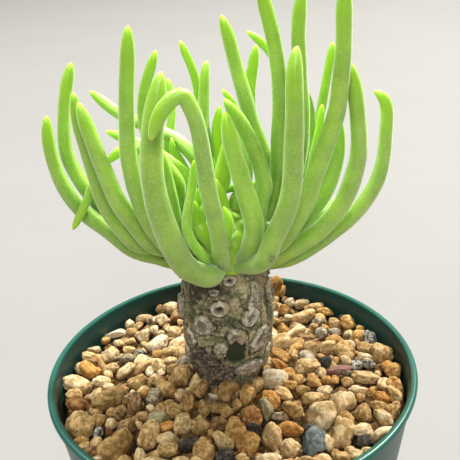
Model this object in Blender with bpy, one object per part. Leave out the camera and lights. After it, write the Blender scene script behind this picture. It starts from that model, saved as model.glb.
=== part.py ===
"""A potted tylecodon: a plastic pot of gravel, a swollen stem and its finger leaves. Metres, +Z up."""

import math
import random

import bmesh
import bpy
import numpy as np
from mathutils import Vector, noise

MM = 0.001

# Pot: a plain tapered plastic pot, standing on z = 0.
POT_HEIGHT = 100 * MM
RIM_RADIUS = 60 * MM
RIM_LIP = 2.2 * MM
LIP_OVERHANG = 1.0 * MM
LIP_STEPS = 5
EDGE_ROUND = 0.4 * MM
POT_WALL = 1.4 * MM
POT_TAPER = math.radians(8)
POT_SIDES = 44
FOOT_WIDTH = 8 * MM
FOOT_ROUND = 0.8 * MM
FLOOR_RISE = 2.5 * MM
FLOOR_THICKNESS = 1.6 * MM
DRAIN_RADIUS = 3.5 * MM
DRAIN_RING = 24 * MM
DRAIN_COUNT = 6
DRAIN_SIDES = 12

# Gravel: its fill, and the stones that stand out of its top, sizes larger than life.
CLEARANCE = 0.3 * MM
HOLE_AIR = 0.5 * MM
FILL_TOP_WALL = POT_HEIGHT - 8.5 * MM
FILL_TOP_STEM = POT_HEIGHT - 6.5 * MM
STONES = 142
STONE_INNER = 12.5 * MM
STONE_OUTER = 51.9 * MM
STONE_RADIUS = (3.7 * MM, 4.6 * MM)
STONE_RAISED = 0.1 * MM
GOLDEN_ANGLE = math.pi * (3 - math.sqrt(5))

# Stem: radii at heights above the pot's rim, then a dome that the leaves stand on.
STEM_PROFILE = (
    (-30, 2.6),
    (-20, 5.0),
    (-12, 6.8),
    (-5, 8.6),
    (-1, 10.5),
    (3, 12.0),
    (9.4, 13.5),
    (12, 14.0),
    (21, 14.6),
    (31, 13.8),
    (36, 13.1),
)
CROWN = Vector((0, 0, 141 * MM))
CROWN_RADIUS = 14 * MM
STEM_SIDES = 38
BARK_RINGS = 15
DOME_PITCHES = (8, 30, 50, 68)
SCAR_HEIGHT = 1.1 * MM
SCAR_REACH = 1.4
BARK_HEIGHT = 0.5 * MM
BARK_GRAIN = 4 * MM
BARK_FADE = 3 * MM
BARK_TOP = CROWN.z - 5 * MM

# Scars of fallen leaves on the front: bearing in degrees, height above the rim and radius in millimetres.
FRONT_SCARS = (
    (241, 22.5, 2.3),
    (261, 29.0, 1.9),
    (280, 18.0, 2.3),
    (299, 26.3, 2.2),
    (328, 23.8, 2.1),
    (312, 13.5, 2.2),
    (300, 3.7, 1.9),
    (216, 14.9, 2.0),
    (211, 26.2, 2.0),
    (252, 8.0, 1.9),
)
BACK_SCARS = 22
BACK_SCAR_RADIUS = 2.1 * MM
BACK_SCAR_RISE = (3 * MM, 34 * MM)

# Eye that the leaves' measures were taken from, level with the front of the pot.
EYE = np.array((2, -218, 255)) * MM
LOOKS_AT = np.array((2, 0, 149)) * MM
LEAN = math.radians(-3.25)
MEASURED_AT = 240 * MM

# Leaves: how they stand on the crown, and their shape.
SEAT_LIFT = 0.3 * MM
SEAT_AIR = 0.8 * MM
LOWEST_SEAT = math.radians(-4)
STRAIGHT_ROOT = 3.5 * MM
ROOT_SHARE = 0.74
SWELLING_SHARE = 0.28
LEAF_TAPER = 0.1
TIP_POWER = 8
TIP_ROUNDING = 0.6
LEAF_FLATNESS = 0.86
INNER_FLATNESS = 0.76
LEAF_SIDES = 8
LEAST_RINGS = 6
RING_PER_LENGTH = 16 * MM
BODY_SHARE = 0.93
LAST_RING = 0.992
SAMPLES = 48
LEAF_AIR = 0.7 * MM
FIXED_ROOT = 2 * MM
FREE_BY = 9 * MM
SIDEWAYS = 0.35
EASING_ROUNDS = 220
EASING_BLUR = 4
SEAT_ROUNDS = 300
BEND_PACE = 7 * MM

# Each leaf seen from the eye: name, bearing and pitch of its seat in degrees, width, its course as (right, up)
# from the middle of the view, and how far in front of the stem's axis it runs, from its start to its tip.
# All lengths are millimetres.
LEAVES = (
    ("left_lowest", 188, 4, 4.6,
     ((-28.5, -6), (-36, -0.9), (-46, 7.8), (-51.6, 16.9), (-54.5, 28.4), (-54.9, 34.2)), (-1,)),
    ("left_outer_tall", 166, 4, 4.5,
     ((-39, 7.5), (-44.7, 14.6), (-49, 23.8), (-50.1, 31), (-50.1, 38.7), (-48.2, 50.4)), (-6, -10)),
    ("left_twin_back", 181, 20, 4.3,
     ((-27, -4.5), (-34.8, 3), (-41.6, 18.9), (-44.1, 27.3), (-47.1, 41.1)), (8,)),
    ("left_twin_front", 205, 20, 5.2,
     ((-21.9, -5.1), (-27.9, 1.2), (-33.7, 9.1), (-37.2, 16.9), (-41.1, 26.1), (-46, 38.4)), (9, 14, 12)),
    ("left_drooping", 190, 40, 3.0,
     ((-33, 7.5), (-38.1, 12), (-41, 13.8), (-42.6, 10.2), (-45, 4.8), (-47.1, 0)), (3,)),
    ("left_upright", 219, 20, 4.4,
     ((-22.5, -0.6), (-27.9, 12), (-30.7, 24.3), (-31.2, 31.2), (-31.1, 45), (-30.9, 61.2)), (14, 18)),
    ("front_broad", 258, 4, 6.5,
     ((-6.9, -14.7), (-10.5, -13.2), (-15, -9), (-17.7, -3.9), (-21.9, 7.5), (-23.7, 21), (-23.4, 27), (-20.8, 47.4)),
     (22, 26, 31, 34, 34, 33, 30)),
    ("front_arched", 264, 20, 4.3,
     ((-1.4, -10.2), (-3.2, -3.9), (-6.3, 11.1), (-9, 26.7), (-11.4, 35.8), (-14.9, 40.8), (-18.3, 38.6), (-20.7, 35.8),
      (-23.6, 26.9)), (18, 24, 32, 36, 39, 40, 40, 41, 41)),
    ("back_left_long", 140, 40, 3.6,
     ((-4.2, 9), (-9, 19.5), (-14.9, 26.1), (-23.4, 30.9), (-33.6, 35.4), (-41.9, 41.7)), (-12, -22)),
    ("back_left_low", 154, 40, 3.0,
     ((-7.5, 4.5), (-12.6, 15), (-19.5, 21.9), (-27.3, 26.1), (-36.4, 29.6)), (-9,)),
    ("left_hooked", 168, 20, 3.2,
     ((-12, 3), (-15.3, 14.1), (-18.6, 18.9), (-22.5, 22.8), (-27.3, 24.3), (-32.7, 23.7), (-36.9, 20.1)),
     (-2,)),
    ("left_inner", 201, 40, 3.5,
     ((-15, 4.5), (-21, 16.5), (-24.6, 27), (-26, 33.6), (-26, 39), (-22.2, 53.9)), (4,)),
    ("back_left_tall", 118, 50, 2.6,
     ((-3, 8), (-6, 18), (-8.5, 30), (-9.5, 39.3), (-10.9, 46.2), (-15.5, 56.8)), (-14,)),
    ("back_left_straight", 150, 60, 3.3,
     ((-4, 10), (-7, 22), (-8.1, 31.5), (-8, 40.5), (-7.7, 47.2), (-7.2, 50.8)), (-4, -8)),
    ("back_left_upright", 125, 20, 3.0,
     ((-13.5, 4.5), (-17.4, 15), (-18.6, 24), (-17.7, 31.5), (-17.4, 37.5), (-18.7, 45.4)), (-20, -30)),
    ("back_left_short", 122, 40, 2.8,
     ((-9, 5.4), (-13.5, 18), (-16.7, 24.3), (-17.6, 27.8)), (-15,)),
    ("front_left_inner", 232, 40, 4.0,
     ((-10.5, -6), (-14.4, -0.6), (-17.6, 9.9), (-20.6, 23.9)), (12, 14)),
    ("front_left_cupped", 240, 16, 3.4,
     ((-6.5, -9.2), (-9.9, -5.7), (-12, -2.4), (-13.1, 1.2), (-12.9, 5.1), (-11.4, 13.5), (-10.7, 21)), (20,)),
    ("heart_left_front", 252, 40, 4.0,
     ((-5.4, -7.5), (-9.6, 2.4), (-11, 8.8)), (13,)),
    ("heart_left", 185, 60, 3.0,
     ((-7.2, 2.4), (-9, 8.1), (-10.2, 12.9)), (6,)),
    ("heart_back_upright", 130, 60, 3.2,
     ((-0.6, 4.5), (-1.8, 13.5), (-3.5, 23.4), (-4, 28), (-2.9, 37.2)), (-6,)),
    ("front_middle", 300, 34, 5.5,
     ((7.8, -5.4), (7.2, 1.5), (3.9, 12.9), (1.1, 22.3), (-1.5, 35.6)), (20,)),
    ("heart_leaning", 232, 60, 3.6,
     ((-3.6, 3), (-4.2, 10.5), (-1.2, 21.6), (1.8, 33.9)), (8,)),
    ("heart_middle", 190, 80, 3.2,
     ((3.3, 0), (1.8, 5.4), (-1.5, 14.8)), (-4, 2)),
    ("heart_front", 271, 40, 3.0,
     ((0.9, -5.4), (-0.5, 2.9), (-2, 7.1)), (15,)),
    ("heart_left_young", 215, 40, 2.6,
     ((-1.2, 5.4), (-2.4, 10.5), (-4.2, 15.6)), (10,)),
    ("middle_slanting", 280, 60, 3.8,
     ((8.4, -3), (9.9, 10.5), (8.1, 21.6), (3.3, 32), (-2, 39.5)), (12,)),
    ("back_middle_thin", 95, 60, 2.3,
     ((9.6, 15), (6.6, 27), (1.8, 36.6), (-2.4, 42.4)), (-4,)),
    ("middle_tall", 300, 80, 4.2,
     ((9.6, -1.5), (9.9, 15), (6, 33), (1.8, 48), (-1.5, 59.8), (-3.2, 64.6)), (2,)),
    ("middle_tucked", 60, 80, 3.0,
     ((10.8, 9), (9.9, 23.4), (7.5, 33.6)), (-6,)),
    ("back_middle_upright", 60, 60, 3.0,
     ((9.6, 12), (6, 34.5), (5.7, 41.4), (6.9, 50.7), (7.6, 55.5)), (-12,)),
    ("back_right_hooked", 62, 40, 3.0,
     ((12, 12), (15.3, 37.5), (14.7, 45), (13.2, 51), (8, 57.5), (5.1, 59.7)), (-20,)),
    ("right_middle_tallest", 325, 60, 4.3,
     ((8.4, -3.9), (12.3, 11.7), (14.7, 30.3), (14.9, 40.5), (14.1, 51), (8.4, 75)), (6, 8)),
    ("front_right_broad", 302, 14, 5.6,
     ((8.4, -8.1), (15.3, 1.5), (18.6, 15.6), (19.2, 28.5), (19.5, 48), (20.2, 55.4)), (20, 26, 28, 28, 26)),
    ("right_straight", 326, 40, 4.3,
     ((13.5, 1.5), (18, 12), (21.6, 36), (21, 48), (20.6, 58.5), (21.9, 73.2)), (8, 10)),
    ("right_inner", 32, 40, 3.3,
     ((16.5, 2.4), (21, 12), (24.8, 27), (24.3, 33), (21.9, 43.8)), (-2, -6)),
    ("right_young", 356, 40, 2.8,
     ((21, 10.5), (25.5, 24.9), (27.2, 33.6), (27.7, 37.8)), (2,)),
    ("back_right_young", 42, 20, 2.0,
     ((23.7, 16.5), (24.9, 22.2), (22.6, 27.8)), (-14,)),
    ("back_right_upright", 20, 20, 3.2,
     ((18, 4.5), (25.2, 24.6), (26.7, 32.4), (29, 45.9), (30.8, 56.5)), (-10,)),
    ("right_tallest", 312, 20, 5.4,
     ((13.5, -5.1), (18.9, 1.5), (27, 21.6), (32, 35.4), (33.9, 54), (34.5, 75)), (12, 14)),
    ("right_curved_inner", 335, 20, 3.6,
     ((14.4, -3.9), (22.8, 3.9), (28.6, 11.1), (32.6, 21.9), (33.9, 33.6)), (4,)),
    ("right_curved", 322, 16, 5.3,
     ((16.8, -6.3), (26.1, -0.6), (33, 6.6), (38.4, 20.1), (38.4, 34.5), (36.5, 50.2)), (10, 12)),
    ("right_lowest", 335, 4, 4.8,
     ((16.5, -8.7), (27.6, -3.3), (37.2, 4.8), (43.5, 13.8), (47, 27), (46.3, 40.4), (44.3, 41.8)), (3, 4)),
    ("right_tucked", 357, 20, 3.8,
     ((19.5, -3.9), (27.9, 1.8), (34.5, 9.9), (38.1, 22.5)), (-4,)),
    ("rear_right_outer", 28, 4, 4.0,
     ((22, 2), (33, 9), (38, 20), (38.6, 30), (37.5, 42)), (-18, -24)),
    ("rear_right_inner", 48, 6, 4.2,
     ((18, 7), (27, 21), (31.5, 35), (33.5, 48)), (-24, -38)),
    ("rear_right_upright", 66, 6, 4.0,
     ((11, 8), (18, 18), (19.3, 32), (19.5, 44)), (-24, -36)),
    ("rear_middle_right", 84, 6, 4.0,
     ((8, 8), (13, 19), (14.8, 32), (14.5, 43)), (-26, -42)),
    ("rear_middle", 100, 6, 3.8,
     ((3, 8), (5, 16), (3.5, 26), (2.5, 33)), (-25, -38)),
    ("rear_middle_left", 114, 6, 3.8,
     ((-3, 8), (-7, 18), (-9.2, 28)), (-24, -34)),
    ("rear_left_inner", 130, 6, 4.2,
     ((-8, 8), (-17, 14), (-23, 24), (-22.8, 34), (-21.5, 42)), (-22, -36)),
    ("rear_left_upright", 147, 6, 4.0,
     ((-14, 8), (-25, 16), (-30, 28), (-31, 42), (-31, 52)), (-20, -32)),
    ("rear_left_outer", 164, 4, 3.8,
     ((-28, 4), (-39, 16), (-43, 27), (-45.5, 37)), (-14, -22)),
)

def material(name, colour, roughness, metallic=0.0):
    made = bpy.data.materials.new(name)
    made.use_nodes = True
    shader = made.node_tree.nodes["Principled BSDF"]
    shader.inputs["Base Color"].default_value = (*colour, 1)
    shader.inputs["Roughness"].default_value = roughness
    shader.inputs["Metallic"].default_value = metallic
    return made


def add_object(name, vertices, faces, finish):
    """An object of these faces, turned to face out and shaded smooth but for its sharp edges."""
    mesh = bpy.data.meshes.new(name)
    mesh.from_pydata([tuple(vertex) for vertex in vertices], [], faces)
    work = bmesh.new()
    work.from_mesh(mesh)
    bmesh.ops.recalc_face_normals(work, faces=work.faces)
    work.to_mesh(mesh)
    work.free()
    mesh.shade_smooth()
    mesh.set_sharp_from_angle(angle=math.radians(50))
    mesh.materials.append(finish)
    made = bpy.data.objects.new(name, mesh)
    bpy.context.scene.collection.objects.link(made)
    return made


def ring_faces(rings, sides):
    """The sides of a stack of rings, and an n-sided cap at each end."""
    faces = []
    for ring in range(rings - 1):
        for side in range(sides):
            after = (side + 1) % sides
            low, high = ring * sides, (ring + 1) * sides
            faces.append((low + side, low + after, high + after, high + side))
    faces.append(tuple(reversed(range(sides))))
    faces.append(tuple(range((rings - 1) * sides, rings * sides)))
    return faces


def turned(name, profile, sides, finish):
    """A closed solid turned round the Z axis from (radius, height) points, with a flat cap at each end."""
    vertices = []
    for radius, height in profile:
        for side in range(sides):
            angle = 2 * math.pi * side / sides
            vertices.append((radius * math.cos(angle), radius * math.sin(angle), height))
    return add_object(name, vertices, ring_faces(len(profile), sides), finish)


def subtract(solid, cutter):
    """Leaves the cutter out of the solid and hides it."""
    cut = solid.modifiers.new("cut_" + cutter.name, "BOOLEAN")
    cut.operation = "DIFFERENCE"
    cut.object = cutter
    cutter.hide_render = True
    cutter.display_type = "WIRE"


def pot_outer(height):
    """The radius of the pot's outer wall at a height."""
    return RIM_RADIUS - LIP_OVERHANG - (POT_HEIGHT - height) * math.tan(POT_TAPER)


def make_pot():
    """The tapered wall with its rolled lip, on a foot ring round a raised floor with drain holes."""
    foot = pot_outer(0)
    floor_top = FLOOR_RISE + FLOOR_THICKNESS
    roll = RIM_LIP / 2
    profile = [(foot - FOOT_WIDTH - FLOOR_RISE, FLOOR_RISE), (foot - FOOT_WIDTH, 0)]
    profile += [(foot - FOOT_ROUND, 0), (pot_outer(FOOT_ROUND), FOOT_ROUND)]
    profile.append((pot_outer(POT_HEIGHT - RIM_LIP), POT_HEIGHT - RIM_LIP))
    for step in range(LIP_STEPS):
        angle = math.pi * (step / (LIP_STEPS - 1) - 0.5)
        profile.append((RIM_RADIUS - roll + roll * math.cos(angle), POT_HEIGHT - roll + roll * math.sin(angle)))
    profile.append((pot_outer(POT_HEIGHT) - POT_WALL, POT_HEIGHT - EDGE_ROUND))
    profile.append((pot_outer(floor_top) - POT_WALL, floor_top))
    pot = turned("pot", profile, POT_SIDES, material("pot_plastic", (0.035, 0.2, 0.12), 0.4))
    drains = [(0, 0)]
    for hole in range(DRAIN_COUNT):
        angle = 2 * math.pi * (hole + 0.5) / DRAIN_COUNT
        drains.append((DRAIN_RING * math.cos(angle), DRAIN_RING * math.sin(angle)))
    for number, (x, y) in enumerate(drains):
        bpy.ops.mesh.primitive_cylinder_add(
            vertices=DRAIN_SIDES, radius=DRAIN_RADIUS, depth=4 * floor_top, location=(x, y, 0)
        )
        drain = bpy.context.active_object
        drain.name = f"drain_{number}"
        subtract(pot, drain)
    return pot


def stem_radius(height):
    """The stem's plain radius at a height above the pot's bottom, along its profile and then its dome."""
    rise = (height - POT_HEIGHT) / MM
    if rise < STEM_PROFILE[-1][0]:
        heights = [point[0] for point in STEM_PROFILE]
        radii = [point[1] for point in STEM_PROFILE]
        return float(np.interp(rise, heights, radii)) * MM
    return math.sqrt(max(0.0, CROWN_RADIUS**2 - (height - CROWN.z) ** 2))


def scars():
    """Each scar's bearing and height on the stem and its radius: those in front, then a spiral round the back."""
    found = [(math.radians(bearing), POT_HEIGHT + rise * MM, size * MM) for bearing, rise, size in FRONT_SCARS]
    for number in range(BACK_SCARS):
        bearing = (number * GOLDEN_ANGLE) % (1.05 * math.pi) - 0.12 * math.pi
        rise = float(np.interp(number, (0, BACK_SCARS - 1), BACK_SCAR_RISE))
        found.append((bearing, POT_HEIGHT + rise, BACK_SCAR_RADIUS))
    return found


def bark_relief(angle, height, placed_scars):
    """How far the bark stands out: rough skin with a raised pad at each leaf scar, and none below the gravel."""
    radius = stem_radius(height)
    point = Vector((radius * math.cos(angle), radius * math.sin(angle), height))
    relief = BARK_HEIGHT * noise.noise(point / BARK_GRAIN)
    for bearing, rise, size in placed_scars:
        middle = Vector((radius * math.cos(bearing), radius * math.sin(bearing), rise))
        away = (point - middle).length / (size * SCAR_REACH)
        relief += SCAR_HEIGHT * max(0.0, 1 - away**4)
    above_gravel = min(1.0, max(0.0, (height - POT_HEIGHT) / BARK_FADE))
    below_crown = min(1.0, max(0.0, (BARK_TOP - height) / BARK_FADE))
    return relief * above_gravel * below_crown


def make_stem():
    """The swollen stem from its root in the gravel to the domed crown."""
    buried = [POT_HEIGHT + rise * MM for rise, _ in STEM_PROFILE if rise < -1]
    above = list(np.linspace(POT_HEIGHT - 1 * MM, CROWN.z - 4 * MM, BARK_RINGS))
    dome = [CROWN.z + CROWN_RADIUS * math.sin(math.radians(pitch)) for pitch in DOME_PITCHES]
    placed_scars = scars()
    vertices = []
    heights = buried + above + dome
    for height in heights:
        for side in range(STEM_SIDES):
            angle = 2 * math.pi * side / STEM_SIDES
            radius = stem_radius(height) + bark_relief(angle, height, placed_scars)
            vertices.append((radius * math.cos(angle), radius * math.sin(angle), height))
    faces = ring_faces(len(heights), STEM_SIDES)
    return add_object("stem", vertices, faces, material("stem_bark", (0.17, 0.13, 0.08), 0.85))


def make_stones():
    """The stones at the gravel's top, on a sunflower spiral with seeded sizes and turns, in their own collection."""
    draw = random.Random(11)
    pile = bpy.data.collections.new("stones")
    bpy.context.scene.collection.children.link(pile)
    for number in range(STONES):
        share = (number + 0.5) / STONES
        reach = math.sqrt(STONE_INNER**2 + share * (STONE_OUTER**2 - STONE_INNER**2))
        angle = number * GOLDEN_ANGLE
        outward = (reach - STONE_INNER) / (STONE_OUTER - STONE_INNER)
        surface = FILL_TOP_STEM + outward * (FILL_TOP_WALL - FILL_TOP_STEM)
        radius = draw.uniform(*STONE_RADIUS)
        place = (reach * math.cos(angle), reach * math.sin(angle), surface + STONE_RAISED)
        turn = [draw.uniform(0, math.tau) for _ in range(3)]
        flatter = (1, draw.uniform(0.85, 1), draw.uniform(0.8, 0.95))
        bpy.ops.mesh.primitive_ico_sphere_add(subdivisions=1, radius=radius, location=place, rotation=turn)
        stone = bpy.context.active_object
        stone.name = f"stone_{number}"
        stone.scale = flatter
        stone.users_collection[0].objects.unlink(stone)
        pile.objects.link(stone)
    return pile


def make_gravel():
    """The gravel that fills the pot, its top stones joined to it, with a plain hole that the stem stands in."""
    floor_top = FLOOR_RISE + FLOOR_THICKNESS + CLEARANCE
    inside = POT_WALL + CLEARANCE
    profile = [(pot_outer(floor_top) - inside, floor_top)]
    profile += [(pot_outer(FILL_TOP_WALL) - inside, FILL_TOP_WALL), (STONE_INNER / 2, FILL_TOP_STEM)]
    gravel = turned("gravel", profile, POT_SIDES, material("gravel_stone", (0.52, 0.36, 0.2), 0.9))
    pile = make_stones()
    join = gravel.modifiers.new("join_stones", "BOOLEAN")
    join.operation = "UNION"
    join.operand_type = "COLLECTION"
    join.collection = pile
    join.solver = "MANIFOLD"
    bpy.context.view_layer.objects.active = gravel
    bpy.ops.object.modifier_apply(modifier=join.name)
    for stone in list(pile.objects):
        bpy.data.objects.remove(stone)
    bpy.data.collections.remove(pile)
    hole = [(STEM_PROFILE[0][1] * MM + HOLE_AIR, POT_HEIGHT + STEM_PROFILE[0][0] * MM - HOLE_AIR)]
    for rise, radius in STEM_PROFILE[1:6]:
        hole.append((radius * MM + HOLE_AIR, POT_HEIGHT + rise * MM))
    subtract(gravel, turned("stem_hole", hole, STEM_SIDES, gravel.data.materials[0]))
    return gravel


def unit(vectors):
    return vectors / np.linalg.norm(vectors, axis=-1, keepdims=True)


def seen_point(right, up, toward):
    """The point that the eye sees this far right of and above the middle of its view, in front of the stem's axis."""
    forward = unit(LOOKS_AT - EYE)
    level = np.array((1.0, 0.0, 0.0))
    upright = np.cross(level, forward)
    leaned_right = level * math.cos(LEAN) + upright * math.sin(LEAN)
    leaned_up = upright * math.cos(LEAN) - level * math.sin(LEAN)
    ray = forward * MEASURED_AT + leaned_right * right + leaned_up * up
    return EYE + ray * (-toward - EYE[1]) / ray[1]


def leaf_courses():
    """Each leaf's name, the direction of its seat from the crown's middle, its width and its course's points."""
    courses = []
    for name, bearing, pitch, width, seen, toward in LEAVES:
        spread = np.linspace(0, len(toward) - 1, len(seen))
        depths = np.interp(spread, range(len(toward)), toward)
        points = [seen_point(right * MM, up * MM, depth * MM) for (right, up), depth in zip(seen, depths)]
        courses.append((name, seat_direction(bearing, pitch), width * MM, points))
    return courses


def seat_direction(bearing, pitch):
    turn, rise = math.radians(bearing), math.radians(pitch)
    return np.array((math.cos(rise) * math.cos(turn), math.cos(rise) * math.sin(turn), math.sin(rise)))


def eased_seats(wanted, widths):
    """Directions of the seats on the crown, as near the wanted ones as leaves of these widths can stand."""
    seats = np.array(wanted)
    roots = widths * ROOT_SHARE / 2
    needed = (roots[:, None] + roots[None, :] + SEAT_AIR) / (CROWN_RADIUS + SEAT_LIFT)
    np.fill_diagonal(needed, 0)
    for _ in range(SEAT_ROUNDS):
        apart = seats[:, None] - seats[None, :]
        between = np.linalg.norm(apart, axis=2) + 1e-9
        short = np.maximum(0, needed - between)
        seats = seats + 0.3 * (apart / between[:, :, None] * short[:, :, None]).sum(axis=1)
        seats[:, 2] = np.maximum(seats[:, 2], math.sin(LOWEST_SEAT))
        seats = unit(seats)
    return seats


def smooth_path(knots, count):
    """Evenly spaced points on a smooth curve through the knots."""
    knots = np.array(knots)
    gap = np.linalg.norm(np.diff(knots, axis=0), axis=1)
    at = np.concatenate(([0], np.cumsum(gap)))
    slope = np.gradient(knots, at, axis=0)
    fine = np.linspace(0, at[-1], 8 * count)
    start = np.clip(np.searchsorted(at, fine, side="right") - 1, 0, len(gap) - 1)
    span = gap[start][:, None]
    part = (fine - at[start])[:, None] / span
    curve = (1 + 2 * part) * (1 - part) ** 2 * knots[start] + part * (1 - part) ** 2 * span * slope[start]
    curve += part**2 * (3 - 2 * part) * knots[start + 1] - part**2 * (1 - part) * span * slope[start + 1]
    return resampled(curve, np.linspace(0, 1, count))


def resampled(path, shares):
    """Points of a path at these shares of its length."""
    walked = np.concatenate(([0], np.cumsum(np.linalg.norm(np.diff(path, axis=0), axis=1))))
    return np.stack([np.interp(shares * walked[-1], walked, path[:, axis]) for axis in range(3)], axis=1)


def leaf_thickness(shares):
    """A leaf's width along its length as a share of its widest: narrower at its root, round at its tip."""
    swell = np.clip(shares / SWELLING_SHARE, 0, 1)
    swell = swell * swell * (3 - 2 * swell)
    tip = (1 - shares**TIP_POWER) ** TIP_ROUNDING
    return (ROOT_SHARE + (1 - ROOT_SHARE) * swell) * (1 - LEAF_TAPER * shares) * tip


def blurred(moves):
    """The leaves' moves evened out along each leaf."""
    for _ in range(EASING_BLUR):
        padded = np.concatenate((moves[:, :1], moves, moves[:, -1:]), axis=1)
        moves = (padded[:, :-2] + 2 * padded[:, 1:-1] + padded[:, 2:]) / 4
    return moves


def eased_apart(paths, radii):
    """Leaves that cross are moved apart, most of it along the line of sight, so that their outline stays."""
    leaves, samples, _ = paths.shape
    owner = np.repeat(np.arange(leaves), samples)
    reach = radii.reshape(-1)
    need = reach[:, None] + reach[None, :] + LEAF_AIR
    need[owner[:, None] >= owner[None, :]] = 0
    steps = np.linalg.norm(np.diff(paths, axis=1), axis=2)
    walked = np.concatenate((np.zeros((leaves, 1)), np.cumsum(steps, axis=1)), axis=1)
    free = np.clip((walked - FIXED_ROOT) / FREE_BY, 0, 1)[:, :, None]
    for _ in range(EASING_ROUNDS):
        points = paths.reshape(-1, 3)
        squares = (points**2).sum(axis=1)
        between = np.sqrt(np.maximum(0, squares[:, None] + squares[None, :] - 2 * points @ points.T))
        first, second = np.nonzero(between < need)
        if not len(first):
            break
        apart = points[first] - points[second]
        sight = unit(points[first] - EYE)
        deep = (apart * sight).sum(axis=1, keepdims=True) * sight
        push = unit(deep + SIDEWAYS * (apart - deep))
        push *= 0.5 * (need[first, second] - between[first, second])[:, None]
        moves = np.zeros_like(points)
        np.add.at(moves, first, push)
        np.add.at(moves, second, -push)
        shared = np.bincount(np.concatenate((first, second)), minlength=len(points))
        moves /= np.maximum(1, shared)[:, None]
        paths = paths + blurred(moves.reshape(paths.shape) * free) * free
    return paths


def leaf_paths():
    """Each leaf's name, width and path, from its seat on the crown, with no two leaves crossing."""
    courses = leaf_courses()
    widths = np.array([course[2] for course in courses])
    seats = eased_seats([course[1] for course in courses], widths)
    straight = CROWN_RADIUS + STRAIGHT_ROOT
    paths = []
    for out, (_, _, _, points) in zip(seats, courses):
        seat = np.array(CROWN) + out * (CROWN_RADIUS + SEAT_LIFT)
        clear = [point for point in points if np.linalg.norm(point - CROWN) > straight + FIXED_ROOT]
        paths.append(smooth_path([seat, np.array(CROWN) + out * straight, *clear], SAMPLES))
    shares = np.linspace(0, 1, SAMPLES)
    paths = eased_apart(np.array(paths), widths[:, None] / 2 * leaf_thickness(shares)[None, :])
    return [(course[0], width, path) for course, width, path in zip(courses, widths, paths)]


def ring_shares(path):
    """Where a leaf's rings lie: evenly, but closer where it bends."""
    steps = np.diff(path, axis=0)
    tangents = unit(steps)
    bends = np.arccos(np.clip((tangents[1:] * tangents[:-1]).sum(axis=1), -1, 1))
    lengths = np.linalg.norm(steps, axis=1)
    pace = lengths + np.concatenate(([0], bends)) * BEND_PACE
    walked = np.concatenate(([0], np.cumsum(pace)))
    rings = LEAST_RINGS + round(lengths.sum() / RING_PER_LENGTH)
    body = np.linspace(0, walked[-1] * BODY_SHARE, rings - 2)
    shares = np.interp(body, walked, np.linspace(0, 1, len(path)))
    return np.concatenate((shares, [0.5 + shares[-1] / 2, LAST_RING]))


def leaf_rings(path, width, shares, sides):
    """The rings round a leaf's path, flatter on the side that faces the crown's middle."""
    middles = resampled(path, shares)
    ahead = resampled(path, np.minimum(1, shares + 0.01))
    behind = resampled(path, np.maximum(0, shares - 0.01))
    tangents = unit(ahead - behind)
    inner = np.array((-tangents[0][0], -tangents[0][1], 1.0))
    rings = []
    for middle, tangent, share in zip(middles, tangents, shares):
        inner = unit(inner - tangent * (inner @ tangent))
        across = np.cross(tangent, inner)
        half = width / 2 * float(leaf_thickness(np.array(share)))
        for side in range(sides):
            angle = 2 * math.pi * side / sides
            flatness = INNER_FLATNESS if math.sin(angle) > 0 else LEAF_FLATNESS
            rings.append(middle + half * (across * math.cos(angle) + inner * flatness * math.sin(angle)))
    return rings


def make_leaves():
    """Every leaf as its own object."""
    finish = material("leaf_flesh", (0.36, 0.58, 0.1), 0.42)
    made = []
    for name, width, path in leaf_paths():
        shares = ring_shares(path)
        vertices = leaf_rings(path, width, shares, LEAF_SIDES)
        faces = ring_faces(len(shares), LEAF_SIDES)
        made.append(add_object("leaf_" + name, vertices, faces, finish))
    return made


def main():
    for leftover in list(bpy.data.objects):
        bpy.data.objects.remove(leftover)
    make_pot()
    make_gravel()
    make_stem()
    make_leaves()


main()
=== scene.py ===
"""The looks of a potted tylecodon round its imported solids: pot, gravel, swollen stem and finger leaves.

Metres, +Z up, in the solids' own frame: the pot stands on z = 0 and the stem's axis is x = y = 0.
"""

import math
import random

import bmesh
import bpy
import numpy as np
from mathutils import Matrix, Vector, noise


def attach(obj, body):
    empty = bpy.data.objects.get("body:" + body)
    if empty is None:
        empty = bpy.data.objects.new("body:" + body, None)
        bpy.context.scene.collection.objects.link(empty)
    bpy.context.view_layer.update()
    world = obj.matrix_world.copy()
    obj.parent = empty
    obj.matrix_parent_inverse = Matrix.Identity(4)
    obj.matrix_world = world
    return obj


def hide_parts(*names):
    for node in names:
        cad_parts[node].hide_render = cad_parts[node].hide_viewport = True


MM = 0.001
GOLDEN_ANGLE = math.pi * (3 - math.sqrt(5))

# Pot: the same driving sizes as its solid.
POT_HEIGHT = 100 * MM
RIM_RADIUS = 60 * MM
RIM_LIP = 2.2 * MM
LIP_OVERHANG = 1.0 * MM
LIP_STEPS = 14
POT_WALL = 1.4 * MM
POT_TAPER = math.radians(8)
POT_SIDES = 256
WALL_STEPS = 16
FOOT_WIDTH = 8 * MM
FOOT_ROUND = 0.8 * MM
FOOT_STEPS = 4
INNER_EDGE_ROUND = 0.35 * MM
INNER_EDGE_DROP = 0.12 * MM
INNER_WALL_DROP = 0.7 * MM
# How far below the pot's top the painted shade inside starts.
INSIDE_SHADE_DROP = 0.2 * MM
FLOOR_RISE = 2.5 * MM
FLOOR_THICKNESS = 1.6 * MM
DRAIN_RADIUS = 3.5 * MM
DRAIN_RING = 24 * MM
DRAIN_COUNT = 6
DRAIN_SIDES = 32
SHARP_ANGLE = math.radians(40)

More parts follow.
